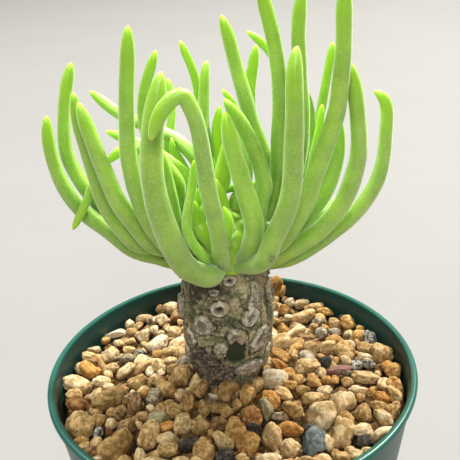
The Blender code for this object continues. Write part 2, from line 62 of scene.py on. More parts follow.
# Stem: radii in millimetres at heights above the pot's rim.
STEM_PROFILE = (
    (-30, 2.6),
    (-20, 5.0),
    (-12, 6.8),
    (-5, 8.6),
    (-1, 10.5),
    (3, 12.0),
    (9.4, 13.5),
    (12, 14.0),
    (21, 14.6),
    (31, 13.8),
    (36, 13.1),
    (42, 13.4),
)

# Crown: the dome that the leaves stand on, how it swells round a leaf's root, the skirt under it, and where
# it is bare and corky, darkened as painted shade.
CROWN = Vector((0, 0, 141 * MM))
CROWN_RADIUS = 14 * MM
CROWN_DETAIL = 6
CROWN_SINK = 0.3 * MM
SWELLING_RISE = 0.7 * MM
SWELLING_DROP = 1.6 * MM
SWELLING_REACH = 0.62
SWELLING_FADES = (0.4, 1.5)
SKIRT_RADIUS = 13.7 * MM
SKIRT_DEPTH = 1.0 * MM
SKIRT_CURVE = 1.6
SKIRT_WIDENING = 40 * MM
BARE_SHADE_UP_TO = 0.2 * MM
BARE_SHADE_ON_SWELLING = 0.35
BARE_SHADE_FROM_FRONT = (-1 * MM, 5 * MM)

# Bark: the heights that it covers above the rim, in millimetres, and how fine its mesh is.
BARK_FROM = -8
BARK_TO = 42.6
BARK_STEP = 0.25
BARK_SIDES = 352

# Leaf scars: bearing in degrees, height above the rim, half width and half height in millimetres,
# turn in degrees, how far the pad stands out, and the depth of its dish and of its pit, in millimetres.
SCARS = (
    (276, 38.6, 2.2, 1.9, 0, 0.5, 0.2, 1.7),
    (261, 29.6, 3.0, 2.5, 5, 0.8, 0.35, 0.9),
    (239, 23.4, 3.6, 3.2, -15, 1.1, 0.35, 0.1),
    (300, 25.4, 2.8, 3.3, -25, 0.9, 0.1, 0.4),
    (306, 30.0, 1.7, 3.0, -25, 0.7, 0.0, 0.0),
    (311, 34.0, 1.4, 2.7, -10, 0.6, 0.0, 0.0),
    (281, 19.4, 3.3, 2.9, -5, 1.0, 0.35, 0.3),
    (312, 16.4, 2.6, 5.0, -30, 0.9, 0.2, 0.3),
    (299, 6.2, 4.6, 2.9, 6, 1.5, 0.1, 0.1),
    (255, 35.0, 1.7, 1.2, 0, 0.35, 0.2, 0.5),
    (192, 25.6, 2.6, 4.4, 0, 1.7, 0.3, 0.1),
    (217, 17.2, 2.1, 3.2, 25, 0.9, 0.3, 0.1),
    (203, 9.0, 2.0, 2.6, 0, 1.0, 0.2, 0.1),
    (260, 15.6, 2.3, 1.8, 0, 0.8, 0.1, 0.0),
    (343, 29.5, 2.3, 4.2, 0, 1.2, 0.3, 0.2),
    (336, 37.5, 1.7, 2.2, 0, 0.6, 0.1, 0.0),
    (305, 38.4, 1.4, 1.1, 0, 0.4, 0.2, 0.6),
    (336, 9.0, 2.2, 2.4, 10, 0.9, 0.1, 0.2),
    (246, 38.0, 1.6, 1.2, 0, 0.4, 0.2, 0.3),
)

# Ovals on the stem, placed and sized like the scars: dry scraps of old leaf bases at the top, with how far
# they stand out, moss-green hollows, pale corky skin and dark skin.
SCRAPS = (
    (203, 39.2, 2.8, 1.2, 2.6), (216, 40.6, 2.2, 1.0, 2.0),
    (196, 36.4, 1.6, 1.3, 1.3), (331, 40.4, 1.3, 1.0, 1.0),
)
SCRAP_TURN = 12
MOSS = (
    (277, 24.5, 3.4, 2.3), (306, 21.6, 2.8, 1.6), (258, 18.8, 4.4, 1.7), (220, 27.0, 1.7, 5.4),
    (331, 29.0, 1.4, 8.5), (283, 33.4, 3.6, 1.0), (268, 34.0, 1.6, 0.9), (242, 28.6, 2.6, 1.2),
    (292, 16.0, 1.6, 1.2), (213, 13.0, 1.6, 2.4),
)
CORK = (
    (274, 29.8, 2.3, 1.9), (286, 20.2, 1.8, 2.4), (326, 35.0, 3.4, 5.4), (292, 41.0, 6.0, 1.6),
    (322, 24.0, 1.5, 4.0), (268, 22.5, 1.2, 1.0), (297, 11.0, 3.5, 1.2), (268, 11.0, 0.9, 2.6),
    (240, 17.2, 1.8, 0.7),
)
DARK_SKIN = ((250, 35.5, 8.0, 2.4), (226, 33.0, 3.0, 5.0), (262, 24.8, 5.5, 1.4))

# Noise on the stem's skin: the size of its blotches in millimetres, and its seed. Folds and flakes lie flat,
# drawn out sideways by these shares.
COARSE = (4.2, 3.1)
MIDDLE = (1.5, 8.4)
FINE = (0.62, 15.2)
FOLDS = (3.0, 5.5)
FOLD_FLATNESS = 2.4
FLAKES = (1.9, 21.0)
FLAKE_FLATNESS = 1.6

# Where the forms on the skin start and end. In ovals it is the distance from the middle, 1 at the edge, and
# in folds and flakes it is the noise. A form fades in between the two values, and where it has a second
# pair, it fades out again between those.
SCAR_PAD = (1.06, 0.8)
SCAR_DISH = (0.62, 0.42)
SCAR_PIT = (0.42, 0.2)
SCAR_RIM = (0.56, 0.72), (1.0, 0.86)
SCAR_CREASE = (0.96, 1.08), (1.34, 1.1)
CORK_ZONE = (1.0, 0.75)
MOSS_ZONE = (1.1, 0.55)
DARK_ZONE = (1.05, 0.6)
SCRAP_ZONE = (1.0, 0.55)
NOTCH_ZONE = (0.96, 0.86)
TORN_ZONE = (0.88, 0.96), (1.16, 1.02)
CRUST_ZONE = (0.96, 0.9)
FOLD_WIDTH = (0.13, 0)
CRACK_ZONE = (0.1, 0.02)
FLAKE_EDGE = (0.07, 0.13), (0.24, 0.15)

# How far the skin stands out, in millimetres, at the forms on it.
CORK_RISE = 0.25
MOSS_DEPTH = 0.3
FOLD_DEPTH = 0.4
CREASE_DEPTH = 0.3
CRUST_RISE = 0.85
CRACK_DEPTH = 0.8
NOTCH_DEPTH = 0.9
TORN_RISE = 0.4

# How far the stem's axis is shifted to the side, in millimetres: as a whole, and more at its foot, with the
# heights between which that fades.
STEM_LEAN = (-0.35, -0.6)
STEM_LEAN_FADES = (22, 4)

# The back's scars: how many, the heights that they climb, and the bearing that their half turn starts at.
# Then the ranges that their forms are drawn from, in the units of the scars in front.
BACK_SCARS = 24
BACK_SCAR_RISE = (3, 38)
BACK_SCAR_FROM = -8
BACK_SCAR_SEED = 5
BACK_SCAR_WIDTHS = (1.8, 3.2)
BACK_SCAR_TALLNESS = (0.8, 1.2)
BACK_SCAR_TURNS = (-25, 25)
BACK_SCAR_RISES = (0.6, 1.1)
BACK_SCAR_DISHES = (0.1, 0.4)
BACK_SCAR_PITS = (0.0, 0.2, 0.8)

# The flaking crust at the stem's foot and the green notch: bearing and height, half width and half height.
CRUST_MIDDLE = (246, 7.6)
CRUST_REACH = (9.4, 9.4)
NOTCH_MIDDLE = (280.5, 13.3)
NOTCH_REACH = (3.7, 4.7)
NOTCH_TURN = -8

# Gravel: the plane that the seen stones' places were read on, the heap that rises from it to the stem, and
# the air between gravel and pot.
READ_PLANE = 93 * MM
HEAP_RISE = 5.5 * MM
HEAP_FROM = 38 * MM
HEAP_TO = 14 * MM
WALL_AIR = 0.3 * MM

# The bed under the top stones, with narrow holes for the stem's root at its top and at its bottom's middle.
BED_DEPTH = 5.6 * MM
BED_SIDES = 120
BED_WALL_STEPS = 12
BED_TOP_STEPS = 44
BED_LUMP = 3.4 * MM
BED_LUMP_SEED = 2.0
BED_LUMP_HEIGHT = 2.2 * MM
BED_LUMPS_FROM_WALL = 1.5 * MM
BED_LUMPS_ABOVE = 60 * MM
ROOT_HOLE = 7.5 * MM
BOTTOM_HOLE = 0.5 * MM

# A stone's shape, as a share of its half size: random flats that cut it, how sharp its corners are, and the
# sizes of its dents with the steps of their seeds.
STONE_SEED = 7
STONE_SEED_STEP = 31.7
STONE_CORNERS = 11
CORNER_POWER = 6.5
CORNER_REACH = 1.12
LEAST_FACING = 0.02
FILLS_BOX = 0.97
FLAT_DEPTHS = (0.7, 1.0)
LUMPS, KNOBS, GRIT, HOLES = (0.85, 0), (0.38, 3), (0.17, 9), (0.28, 5)

# How deep a seen stone is as a share of its mean size, how much its colour is shifted, how far below the
# heap's line painted shade darkens it, and the half length from which a seen stone gets the finer mesh.
SEEN_DEPTHS = (0.78, 0.95)
SHIFTS = (0, 0.8)
SUNK_SHADE_FROM = (-0.6 * MM, 2.2 * MM)
FINE_STONE = 2.6 * MM

# A seen stone is lifted towards the eye in steps until it clears the heap and the stem in front of it, then
# moved in from the wall.
LIFT = 0.3 * MM
LIFTS = 60
FRONT_OF_STEM = 12 * MM
STEM_OVERLAP = 0.85
WALL_OVERLAP = 0.92

# Colours of everything but the stones.
TINTS = {
    "pot_deep": (0.007, 0.062, 0.044),
    "pot_green": (0.010, 0.082, 0.060),
    "pot_scuff": (0.12, 0.24, 0.19),
    # Painted shade inside the pot, and a paler lip as a painted highlight.
    "pot_inside_shade": (0.3, 0.36, 0.42),
    "pot_lip_highlight": (0.02, 0.13, 0.095),
    "pot_dust": (0.22, 0.25, 0.17),
    "skin_brown": (0.19, 0.16, 0.065),
    "skin_tan": (0.48, 0.40, 0.21),
    "skin_green": (0.10, 0.125, 0.045),
    "skin_dry": (0.70, 0.60, 0.39),
    "skin_streak": (0.045, 0.038, 0.018),
    "skin_speck": (0.85, 0.76, 0.58),
    "skin_dark": (0.07, 0.05, 0.032),
    "moss_deep": (0.04, 0.056, 0.022),
    "moss_green": (0.13, 0.155, 0.065),
    "crust_dark": (0.045, 0.032, 0.022),
    "crust_brown": (0.25, 0.185, 0.13),
    "crust_speck": (0.42, 0.34, 0.25),
    # Painted shade in the crust's cracks.
    "crust_crack_shade": (0.02, 0.014, 0.012),
    # Pale flake edges, partly their colour and partly a painted highlight.
    "crust_edge_pale_highlight": (0.46, 0.37, 0.27),
    "scar_grey": (0.25, 0.20, 0.15),
    "scar_pale": (0.78, 0.70, 0.57),
    "scar_dish": (0.19, 0.125, 0.085),
    # Pale scar rims, partly their colour and partly a painted highlight.
    "scar_rim_pale_highlight": (0.70, 0.64, 0.53),
    "scar_pit": (0.05, 0.016, 0.009),
    "scar_fleck": (0.035, 0.026, 0.018),
    # Painted shade in the creases round the scars.
    "scar_crease_shade": (0.025, 0.02, 0.012),
    "cork": (0.50, 0.39, 0.22),
    "notch_deep": (0.012, 0.024, 0.011),
    "notch_green": (0.05, 0.075, 0.03),
    "crown_deep": (0.24, 0.42, 0.03),
    "crown_green": (0.35, 0.56, 0.045),
    # Bare corky skin on the crown, darkened as painted shade.
    "shaded_bare_deep": (0.05, 0.065, 0.02),
    "shaded_bare": (0.19, 0.22, 0.07),
    "leaf_deep": (0.295, 0.495, 0.06),
    "leaf_green": (0.395, 0.62, 0.075),
    "leaf_darker": (0.205, 0.375, 0.03),
    "leaf_bloom": (0.42, 0.55, 0.19),
    "leaf_speck": (0.68, 0.86, 0.34),
    "leaf_bright": (0.35, 0.60, 0.012),
    "leaf_root": (0.34, 0.51, 0.02),
    "leaf_tip": (0.52, 0.68, 0.06),
    "leaf_point": (0.42, 0.16, 0.08),
    "leaf_bruise": (0.16, 0.10, 0.03),
    # Painted shade where leaves crowd, and a painted glow on young leaves.
    "leaf_crowd_shade": (0.48, 0.66, 0.3),
    "leaf_glow": (0.14, 0.26, 0.004),
    "no_glow": (0, 0, 0),
    "rust_stain": (0.40, 0.20, 0.055),
    "stone_shift": (0.74, 0.66, 0.54),
    # Painted shade below the heap's line, between the stones.
    "stone_sunk_shade": (0.48, 0.41, 0.32),
    "floor_dark": (0.235, 0.232, 0.225),
    "floor_pale": (0.255, 0.252, 0.245),
}

# Colours of the stones: base, and the darker and paler colours that mottle it. Some are stained by rust, and
# some are smoother than the rest.
TONES = {
    "white": ((0.702, 0.621, 0.468), (0.468, 0.36, 0.198), (0.846, 0.792, 0.666)),
    "cream": ((0.621, 0.486, 0.279), (0.387, 0.252, 0.099), (0.792, 0.693, 0.486)),
    "sand": ((0.513, 0.369, 0.171), (0.306, 0.18, 0.063), (0.702, 0.567, 0.333)),
    "tan": ((0.423, 0.275, 0.108), (0.225, 0.126, 0.038), (0.612, 0.45, 0.225)),
    "ochre": ((0.477, 0.279, 0.086), (0.279, 0.131, 0.029), (0.648, 0.459, 0.198)),
    "orange": ((0.468, 0.221, 0.05), (0.27, 0.099, 0.016), (0.612, 0.387, 0.135)),
    "rust": ((0.333, 0.149, 0.045), (0.171, 0.061, 0.016), (0.495, 0.297, 0.117)),
    "brown": ((0.225, 0.135, 0.054), (0.09, 0.047, 0.016), (0.396, 0.27, 0.135)),
    "olive": ((0.369, 0.248, 0.09), (0.189, 0.108, 0.032), (0.54, 0.405, 0.189)),
    "grey": ((0.297, 0.252, 0.18), (0.126, 0.099, 0.063), (0.54, 0.477, 0.36)),
    "sage": ((0.333, 0.306, 0.189), (0.189, 0.171, 0.09), (0.504, 0.468, 0.315)),
    "slate": ((0.108, 0.135, 0.131), (0.045, 0.059, 0.061), (0.198, 0.234, 0.225)),
    "charcoal": ((0.054, 0.047, 0.038), (0.018, 0.016, 0.014), (0.126, 0.108, 0.086)),
    "shadow": ((0.09, 0.055, 0.022), (0.03, 0.018, 0.008), (0.18, 0.115, 0.05)),
    "pepper": ((0.135, 0.131, 0.122), (0.016, 0.016, 0.016), (0.648, 0.621, 0.558)),
    "mauve": ((0.297, 0.149, 0.131), (0.171, 0.072, 0.068), (0.414, 0.252, 0.225)),
}
RUSTY = ("cream", "sand", "tan", "ochre", "olive", "brown")
SMOOTH_TONES = ("slate", "mauve", "sage")

# How often each colour is drawn for the stones that fill the rest.
COMMON_TONES = {
    "sand": 26, "tan": 24, "cream": 17, "ochre": 13, "olive": 7, "orange": 4,
    "white": 3, "brown": 3, "grey": 2, "pepper": 1, "charcoal": 1,
}

# Stones that show: where their middle meets the read plane (x, y), their length and width as seen,
# all in millimetres, the turn of their length in degrees, and their colour.
# Stones at the back left, with x below -8 and y above 8, were read one colour paler, partly as painted light
# where light falls on them.
SEEN_STONES = (
    (-53.3, 3.0, 10.8, 6.6, -8, "cream"), (-49.6, 10.5, 8.9, 6.6, -15, "orange"),
    (-55.2, 13.0, 5.4, 6.0, 60, "cream"), (-49.7, 18.0, 8.2, 4.2, -15, "sand"),
    (-49.0, 23.2, 5.6, 2.8, 5, "cream"), (-43.2, 19.6, 6.8, 6.0, 20, "cream"),
    (-42.4, 33.0, 8.6, 3.0, 15, "white"), (-36.6, 33.2, 5.0, 4.6, 40, "sand"),
    (-32.1, 29.9, 6.0, 6.0, 0, "cream"), (-39.0, 40.0, 4.0, 4.2, 0, "cream"),
    (-34.2, 43.3, 7.2, 4.2, 10, "cream"), (-34.5, 36.9, 4.6, 2.8, 40, "sand"),
    (-30.5, 41.0, 2.8, 4.0, 0, "grey"), (-25.1, 40.0, 6.3, 5.3, 10, "cream"),
    # The brown stone at (-27.8, 50.5) is coloured darker where it lay in shade, partly painted shade.
    (-22.6, 48.6, 6.8, 5.0, 15, "cream"), (-27.8, 50.5, 4.8, 5.0, 0, "brown"),
    (-20.9, 31.2, 7.2, 5.0, -35, "cream"), (-28.0, 34.2, 3.6, 3.8, 30, "cream"),
    (-25.3, 31.2, 3.4, 2.4, 0, "cream"), (-26.0, 23.7, 9.2, 6.2, 25, "white"),
    (-32.1, 19.5, 4.4, 3.0, -10, "pepper"), (-40.6, 26.8, 4.2, 2.8, 0, "sand"),
    (-36.4, 27.4, 4.4, 2.8, 5, "sand"), (-36.9, 21.9, 5.4, 2.8, 5, "sand"),
    (-36.1, 16.2, 7.8, 3.8, -6, "grey"), (-42.2, 11.4, 6.0, 4.5, 20, "cream"),
    (-36.7, 9.3, 8.0, 4.4, 50, "cream"), (-31.2, 9.4, 8.4, 3.8, 40, "sand"),
    (-25.3, 11.0, 6.4, 4.4, -50, "sand"), (-21.4, 13.8, 4.8, 3.4, 10, "sand"),
    (-20.5, 8.6, 4.4, 4.2, 0, "olive"), (-17.6, 17.4, 4.8, 5.2, 60, "sand"),
    (-22.2, 19.0, 5.0, 3.5, 20, "sand"), (-44.1, 4.0, 6.0, 4.0, 15, "cream"),
    (-32.6, 2.4, 8.4, 5.0, 20, "tan"), (-25.1, 3.0, 6.8, 3.6, -8, "tan"),
    (-17.2, 5.6, 9.4, 6.8, 68, "tan"), (-18.5, 38.0, 2.8, 2.6, 0, "cream"),
    (-50.3, -8.0, 8.2, 5.2, -8, "rust"), (-41.1, -6.0, 10.6, 9.4, 0, "olive"),
    (-31.7, -9.0, 7.6, 5.4, 85, "brown"), (-25.7, -6.8, 6.4, 5.6, 75, "grey"),
    (-28.9, -3.8, 3.8, 3.2, 40, "orange"), (-49.0, -18.6, 11.0, 9.6, 80, "tan"),
    (-42.7, -16.8, 5.0, 4.6, 0, "olive"), (-38.2, -18.4, 4.3, 4.3, 0, "cream"),
    (-33.1, -20.6, 8.0, 6.2, 80, "brown"), (-24.5, -16.8, 7.0, 5.0, -8, "sage"),
    (-28.8, -15.4, 4.0, 4.0, 0, "tan"), (-19.0, -13.6, 6.2, 5.0, 10, "olive"),
    (-14.8, -10.8, 8.6, 5.0, 80, "tan"), (-16.5, -21.0, 7.8, 6.2, 62, "sand"),
    (-36.0, -29.8, 13.0, 10.6, 65, "tan"), (-26.5, -26.0, 10.8, 6.6, 80, "tan"),
    (-20.2, -32.2, 6.6, 5.4, 0, "olive"), (-14.0, -30.2, 6.4, 5.4, 50, "charcoal"),
    (-42.0, -22.6, 4.4, 2.8, 75, "pepper"), (-43.6, -31.0, 5.2, 5.0, 0, "brown"),
    (-47.0, -29.6, 5.0, 4.6, 0, "tan"), (-43.0, -37.0, 5.0, 4.0, 0, "cream"),
    (-24.5, -37.2, 8.2, 4.8, 5, "cream"), (-19.8, -4.6, 3.4, 2.8, 70, "rust"),
    # The brown stone at (-36.2, -13.0) is a grey stone coloured darker where it lay in shade, partly painted
    # shade.
    (-46.4, -4.6, 3.4, 1.8, 80, "white"), (-36.2, -13.0, 5.0, 4.4, 60, "brown"),
    (-10.6, -3.6, 7.4, 6.2, 80, "tan"), (-1.6, -4.2, 8.8, 6.2, 50, "tan"),
    (4.8, -7.9, 7.2, 5.8, 80, "ochre"), (8.2, -3.4, 6.4, 5.0, 60, "tan"),
    (14.2, -1.0, 8.8, 7.6, -10, "white"), (16.6, -8.8, 7.4, 4.2, -22, "sand"),
    (11.5, -10.9, 7.8, 6.0, -40, "orange"), (10.2, -16.0, 8.0, 4.4, 105, "sage"),
    (4.9, -18.6, 8.2, 6.2, -15, "rust"), (-2.8, -15.4, 5.0, 4.4, -20, "tan"),
    (-5.6, -13.4, 4.2, 3.8, 20, "olive"), (-9.6, -14.0, 5.8, 4.4, 80, "tan"),
    (-5.2, -20.8, 6.0, 5.0, 0, "brown"), (-10.4, -22.0, 6.6, 6.2, 60, "olive"),
    (0.7, -13.0, 4.2, 3.8, 60, "olive"), (-0.4, -24.6, 8.0, 7.2, 20, "ochre"),
    (-3.8, -29.4, 7.6, 5.8, -30, "sand"), (3.9, -31.6, 8.0, 7.2, 30, "ochre"),
    # The charcoal stone at (5.6, -24.4) stands for a dark patch of shade, partly painted shade.
    (5.6, -24.4, 5.4, 3.8, -20, "charcoal"), (10.8, -28.8, 9.6, 6.8, 107, "sand"),
    (16.6, -25.6, 8.8, 6.4, -12, "orange"), (18.4, -16.8, 7.2, 5.8, -20, "olive"),
    (16.2, -34.8, 6.8, 6.2, 60, "sand"), (23.2, -32.8, 10.0, 8.8, 110, "slate"),
    (26.2, -20.4, 11.6, 9.6, 75, "cream"), (21.9, -1.8, 4.2, 4.2, 0, "ochre"),
    (26.9, -2.6, 5.6, 4.9, -15, "ochre"), (31.2, -2.4, 3.8, 3.0, 0, "ochre"),
    (22.9, -7.0, 5.0, 3.6, -10, "olive"), (25.2, -11.6, 7.6, 4.6, 20, "sand"),
    (-3.5, -36.6, 6.4, 4.6, 0, "charcoal"), (-9.4, -34.4, 9.4, 6.6, 95, "tan"),
    (9.5, -38.6, 7.8, 5.2, -10, "cream"), (1.4, -39.6, 5.4, 4.4, 0, "tan"),
    (27.6, -33.6, 6.2, 3.6, 110, "cream"), (20.0, -40.4, 5.4, 4.2, 0, "tan"),
    (13.4, -19.4, 3.4, 2.8, 0, "grey"), (16.3, 7.2, 6.4, 4.6, -15, "orange"),
    (24.6, 6.2, 10.6, 7.2, 8, "sand"), (17.4, 12.4, 8.8, 4.6, -28, "ochre"),
    (23.2, 26.2, 12.0, 4.6, 30, "cream"), (26.8, 23.2, 6.4, 3.4, 0, "brown"),
    (22.8, 17.0, 5.2, 4.0, 10, "ochre"), (28.2, 15.5, 6.0, 5.8, -45, "sand"),
    (33.8, 15.6, 6.6, 6.2, 20, "sand"), (39.3, 13.4, 8.2, 8.0, -20, "tan"),
    (37.0, 20.0, 8.4, 4.8, -6, "ochre"), (35.9, 2.9, 9.4, 3.4, 10, "mauve"),
    (32.2, 8.2, 4.8, 4.2, 30, "charcoal"), (42.0, 4.8, 4.6, 4.0, 30, "pepper"),
    (46.2, 5.2, 6.0, 3.4, -12, "pepper"), (45.5, 9.2, 6.6, 4.6, 5, "cream"),
    (46.8, 15.0, 6.2, 4.2, -8, "sand"), (52.6, 10.2, 9.2, 8.6, 65, "sand"),
    (50.6, 21.0, 7.2, 5.0, -50, "pepper"), (45.3, 21.8, 6.2, 5.2, 10, "ochre"),
    (41.8, 23.0, 2.8, 2.8, 0, "grey"), (44.1, 31.4, 7.0, 5.4, -35, "ochre"),
    (43.2, 36.2, 4.2, 2.6, -10, "charcoal"), (38.5, 31.2, 7.4, 5.4, -40, "sand"),
    (33.2, 32.7, 5.6, 3.8, -10, "grey"), (33.4, 25.8, 5.4, 4.4, 10, "grey"),
    (37.8, 25.4, 5.4, 3.6, -25, "grey"), (27.8, 37.4, 9.6, 5.6, 12, "sand"),
    (23.7, 48.0, 4.8, 4.0, -10, "white"), (28.2, 46.4, 6.0, 4.2, 15, "cream"),
    (34.6, 45.4, 8.0, 4.4, 5, "tan"), (36.8, 39.8, 7.6, 3.6, -10, "ochre"),
    (21.8, 37.0, 3.9, 3.0, 10, "cream"), (20.6, 42.4, 5.6, 4.6, -35, "ochre"),
    (22.0, 51.0, 3.4, 3.0, 0, "sand"), (31.0, 30.2, 3.6, 3.2, -40, "tan"),
    (54.0, 0.4, 6.4, 6.0, 0, "ochre"), (44.0, -2.0, 9.6, 4.4, -6, "sand"),
    (37.5, -3.6, 4.8, 3.6, 10, "tan"), (38.7, 0.9, 4.0, 2.2, 0, "grey"),
    (49.2, -7.2, 6.4, 5.2, -35, "cream"), (54.0, -8.2, 7.4, 5.2, -50, "ochre"),
    (49.6, 2.6, 3.8, 3.4, 0, "brown"), (42.4, 17.2, 3.0, 3.8, 60, "white"),
    (47.2, 26.6, 3.0, 3.4, 60, "ochre"), (34.0, -15.6, 9.6, 8.8, 75, "cream"),
    (30.0, -8.0, 5.6, 3.2, 5, "cream"), (40.4, -8.8, 8.6, 3.8, -3, "cream"),
    (47.4, -14.0, 6.4, 5.2, -10, "orange"), (52.4, -13.2, 9.0, 5.2, -60, "sand"),
    (40.5, -21.2, 6.6, 6.2, 20, "tan"), (45.7, -17.6, 7.2, 4.0, -35, "tan"),
    (46.1, -24.6, 9.6, 5.2, -45, "cream"), (50.4, -21.5, 7.8, 5.2, 75, "tan"),
    (32.0, -29.6, 11.2, 7.8, 95, "sand"), (38.8, -28.4, 7.8, 5.0, 0, "cream"),
    (37.8, -33.0, 6.0, 5.4, 0, "charcoal"), (44.2, -32.0, 9.4, 5.4, 42, "cream"),
    (34.5, -38.8, 5.4, 4.4, 0, "cream"), (38.9, -38.0, 4.8, 4.2, 0, "sand"),
    (31.0, -39.8, 5.0, 4.0, 0, "tan"), (44.0, -10.6, 4.4, 3.8, 0, "ochre"),
    (40.3, -12.8, 3.4, 3.2, 0, "tan"),
)

# A stone that stands up behind the stem's right shoulder, as two lobes: x, y, z, width, height and depth
# in millimetres, and colour.
STANDING_STONES = (
    (18.5, 46.5, 103.9, 5.6, 5.2, 5, "ochre"),
    (19.3, 46.5, 100.0, 5.0, 5.6, 5, "ochre"),
)

# Stones that fill the rest: radius, tries, and how far below and above the heap's middle line they may lie,
# in millimetres. Then how far out they lie, how much of their radii keeps them out of the stem, the wall and
# each other, the ranges that their size and their three half sizes are drawn from, and how far they tilt. A
# seen stone that is longer than its width by LONG_STONE takes up room at both its ends.
FILLERS = (
    (3.7, 900, 2.5, 0.3),
    (3.0, 1500, 3.5, 0.3),
    (2.4, 3000, 5.0, 0.0),
    (1.9, 5000, 5.5, 0.0),
    (1.5, 4200, 5.5, 0.0),
)
FILL_REACH = 57 * MM
FILL_FROM = 0.03
FILL_STEM_OVERLAP = 0.8
FILL_WALL_OVERLAP = 0.9
FILL_CLOSENESS = 0.82
FILL_SIZES = (0.88, 1.12)
FILL_SHAPES = ((1.05, 1.35), (0.9, 1.05), (0.72, 0.9))
FILL_TILT = 0.35
LONG_STONE = 1.3

# Eye that the leaves and stones were measured from, level with the front of the pot.
EYE = np.array((2, -218, 255)) * MM
LOOKS_AT = np.array((2, 0, 149)) * MM
LEAN = math.radians(-3.25)
MEASURED_AT = 240 * MM
FOCAL_PIXELS = 800
FRAME_PIXELS = 460
SENSOR_WIDTH = 36
NEAREST_SEEN = 0.01

# Studio: soft square lights (name, place, size, power in watts, colour) that point at one place, in metres.
LIGHTS = (
    ("key", (1.05, 1.0, 1.9), 0.3, 109.0, (1.0, 0.965, 0.9)),
    ("front_fill", (0.05, -1.62, 1.58), 0.9, 29.5, (1.0, 0.98, 0.93)),
    ("window", (-0.8, 0.6, 2.0), 0.5, 50.0, (0.97, 1.0, 0.98)),
)
LIT_PLACE = (0, 0, 0.12)
SKY_COLOUR = (1.0, 0.98, 0.94, 1)
SKY_STRENGTH = 0.12
FLOOR_REACH = 3.0

# Leaves: how their seats stand on the crown and their courses are eased apart, as in the solids.
SEAT_LIFT = 0.3 * MM
SEAT_AIR = 0.8 * MM
LOWEST_SEAT = math.radians(-4)
STRAIGHT_ROOT = 3.5 * MM
ROOT_SHARE = 0.74
SWELLING_SHARE = 0.28
LEAF_TAPER = 0.1
TIP_POWER = 8
TIP_ROUNDING = 0.6
SAMPLES = 48
LEAF_AIR = 0.7 * MM
FIXED_ROOT = 2 * MM
FREE_BY = 9 * MM
SIDEWAYS = 0.35
EASING_ROUNDS = 220
EASING_BLUR = 4
SEAT_ROUNDS = 300
SEAT_STEP = 0.3
NEIGHBOUR_REACH = 6 * MM

# Their flesh: the mesh, the root sunk in the crown, the neck, the blunt tip, small bends and uneven girth,
# the channel on the inner side, and the painted shade where they crowd.
LEAF_SIDES = 20
RING_SPACING = 0.95 * MM
SUNK_ROOT = 3 * MM
ROOT_FLARE = 0.16
FLARE_LENGTH = 1.8 * MM
NECK_SHARE = 0.88
NECK_LENGTH = 13 * MM
FULL_GIRTH_BY = 0.3
TAPERS = (0.35, 1.0)
TIP_LENGTH = 3.3
TIP_BLUNTNESS = 0.56
TIP_RINGS = 12
LAST_RING = 0.9994
PLUMPNESS = 1.06
SWAY = 0.072
SWAY_SIZE = 14 * MM
SWAY_SEEDS = (0.3, 4.6, 8.9)
SWAY_FROM = (0.05, 0.3)
UNEVENNESS = 0.035
UNEVENNESS_SIZE = 6 * MM
UNEVENNESS_SEED = 20
OUTER_FLATNESS = 1.0
INNER_FLATNESS = 0.94
CHANNEL_DEPTH = 0.16
CHANNEL_WIDTH = 0.42
CHANNEL_ZONE = (0.08, 0.3), (0.98, 0.85)
YOUNG_WIDTH = 3.3 * MM
CROWDING = 0.55
CROWD_REACH = 9 * MM

# Small corrections to how leaves look from the eye: how much plumper they are, and how far they move, each as
# a share of their length with how far right and how far up in millimetres.
UNMOVED = ((0, 0, 0), (1, 0, 0))
TRIMS = {
    "right_lowest": (0.96, ((0, 0, -0.8), (0.12, 0, 0), (0.3, 0.1, 0.5), (0.6, 0.2, 0), (0.85, -0.8, 0),
                            (1, -0.9, 0))),
    "right_curved": (1.02, ((0, 0, -0.4), (0.2, 0, 0.1), (0.4, -0.4, 0.1), (0.8, -0.5, 0), (1, -0.5, 0))),
    "right_curved_inner": (1.3, ((0, 0, 0), (0.3, -0.3, 0), (1, -0.8, 0))),
    "front_right_broad": (0.97, UNMOVED),
    "left_outer_tall": (1.04, ((0, 0, 0), (0.6, 0, 0), (0.85, 0.7, 0), (1, 0.6, 0))),
    "left_lowest": (1.06, ((0, 0, -1.4), (0.1, 0, 0.2), (0.3, 0, 0.8), (0.5, -0.2, 0.4), (1, -0.2, 0.2))),
    "left_upright": (1.08, ((0, 0, 0), (1, 0.2, 0))),
    "left_twin_front": (1.0, ((0, 0, 0), (0.6, 0, 0), (1, 0.3, 0.2))),
    "left_twin_back": (1.15, ((0, 0, 0), (0.5, 0.4, 0), (1, 0.1, 0.2))),
    "front_broad": (0.98, ((0, 0, 0.8), (0.15, 0, 1.3), (0.3, 0, 0.2), (1, 0, 0))),
    "front_left_cupped": (0.8, UNMOVED),
    "heart_leaning": (1.25, UNMOVED),
    "middle_slanting": (1.15, UNMOVED),
    "middle_tall": (1.1, ((0, 0, 0), (1, 0.3, 0))),
    "front_middle": (0.97, UNMOVED),
    "right_tallest": (0.98, ((0, 0, 0), (1, -0.1, 0))),
    "right_straight": (1.06, ((0, 0, 0), (1, -0.2, 0))),
    "right_middle_tallest": (1.08, UNMOVED),
    "back_middle_upright": (1.3, ((0, 0, 0), (1, 0.2, 0))),
    "back_left_straight": (1.15, ((0, 0, 0), (1, 0.3, 0))),
    "back_left_tall": (1.1, ((0, 0, 0), (1, 0.3, 0))),
    "back_left_long": (1.15, ((0, 0, 0), (0.6, 0, -0.2), (1, -0.3, 0))),
    "back_left_low": (1.25, ((0, 0, 0), (1, -0.9, 0))),
    "left_hooked": (1.2, UNMOVED),
}

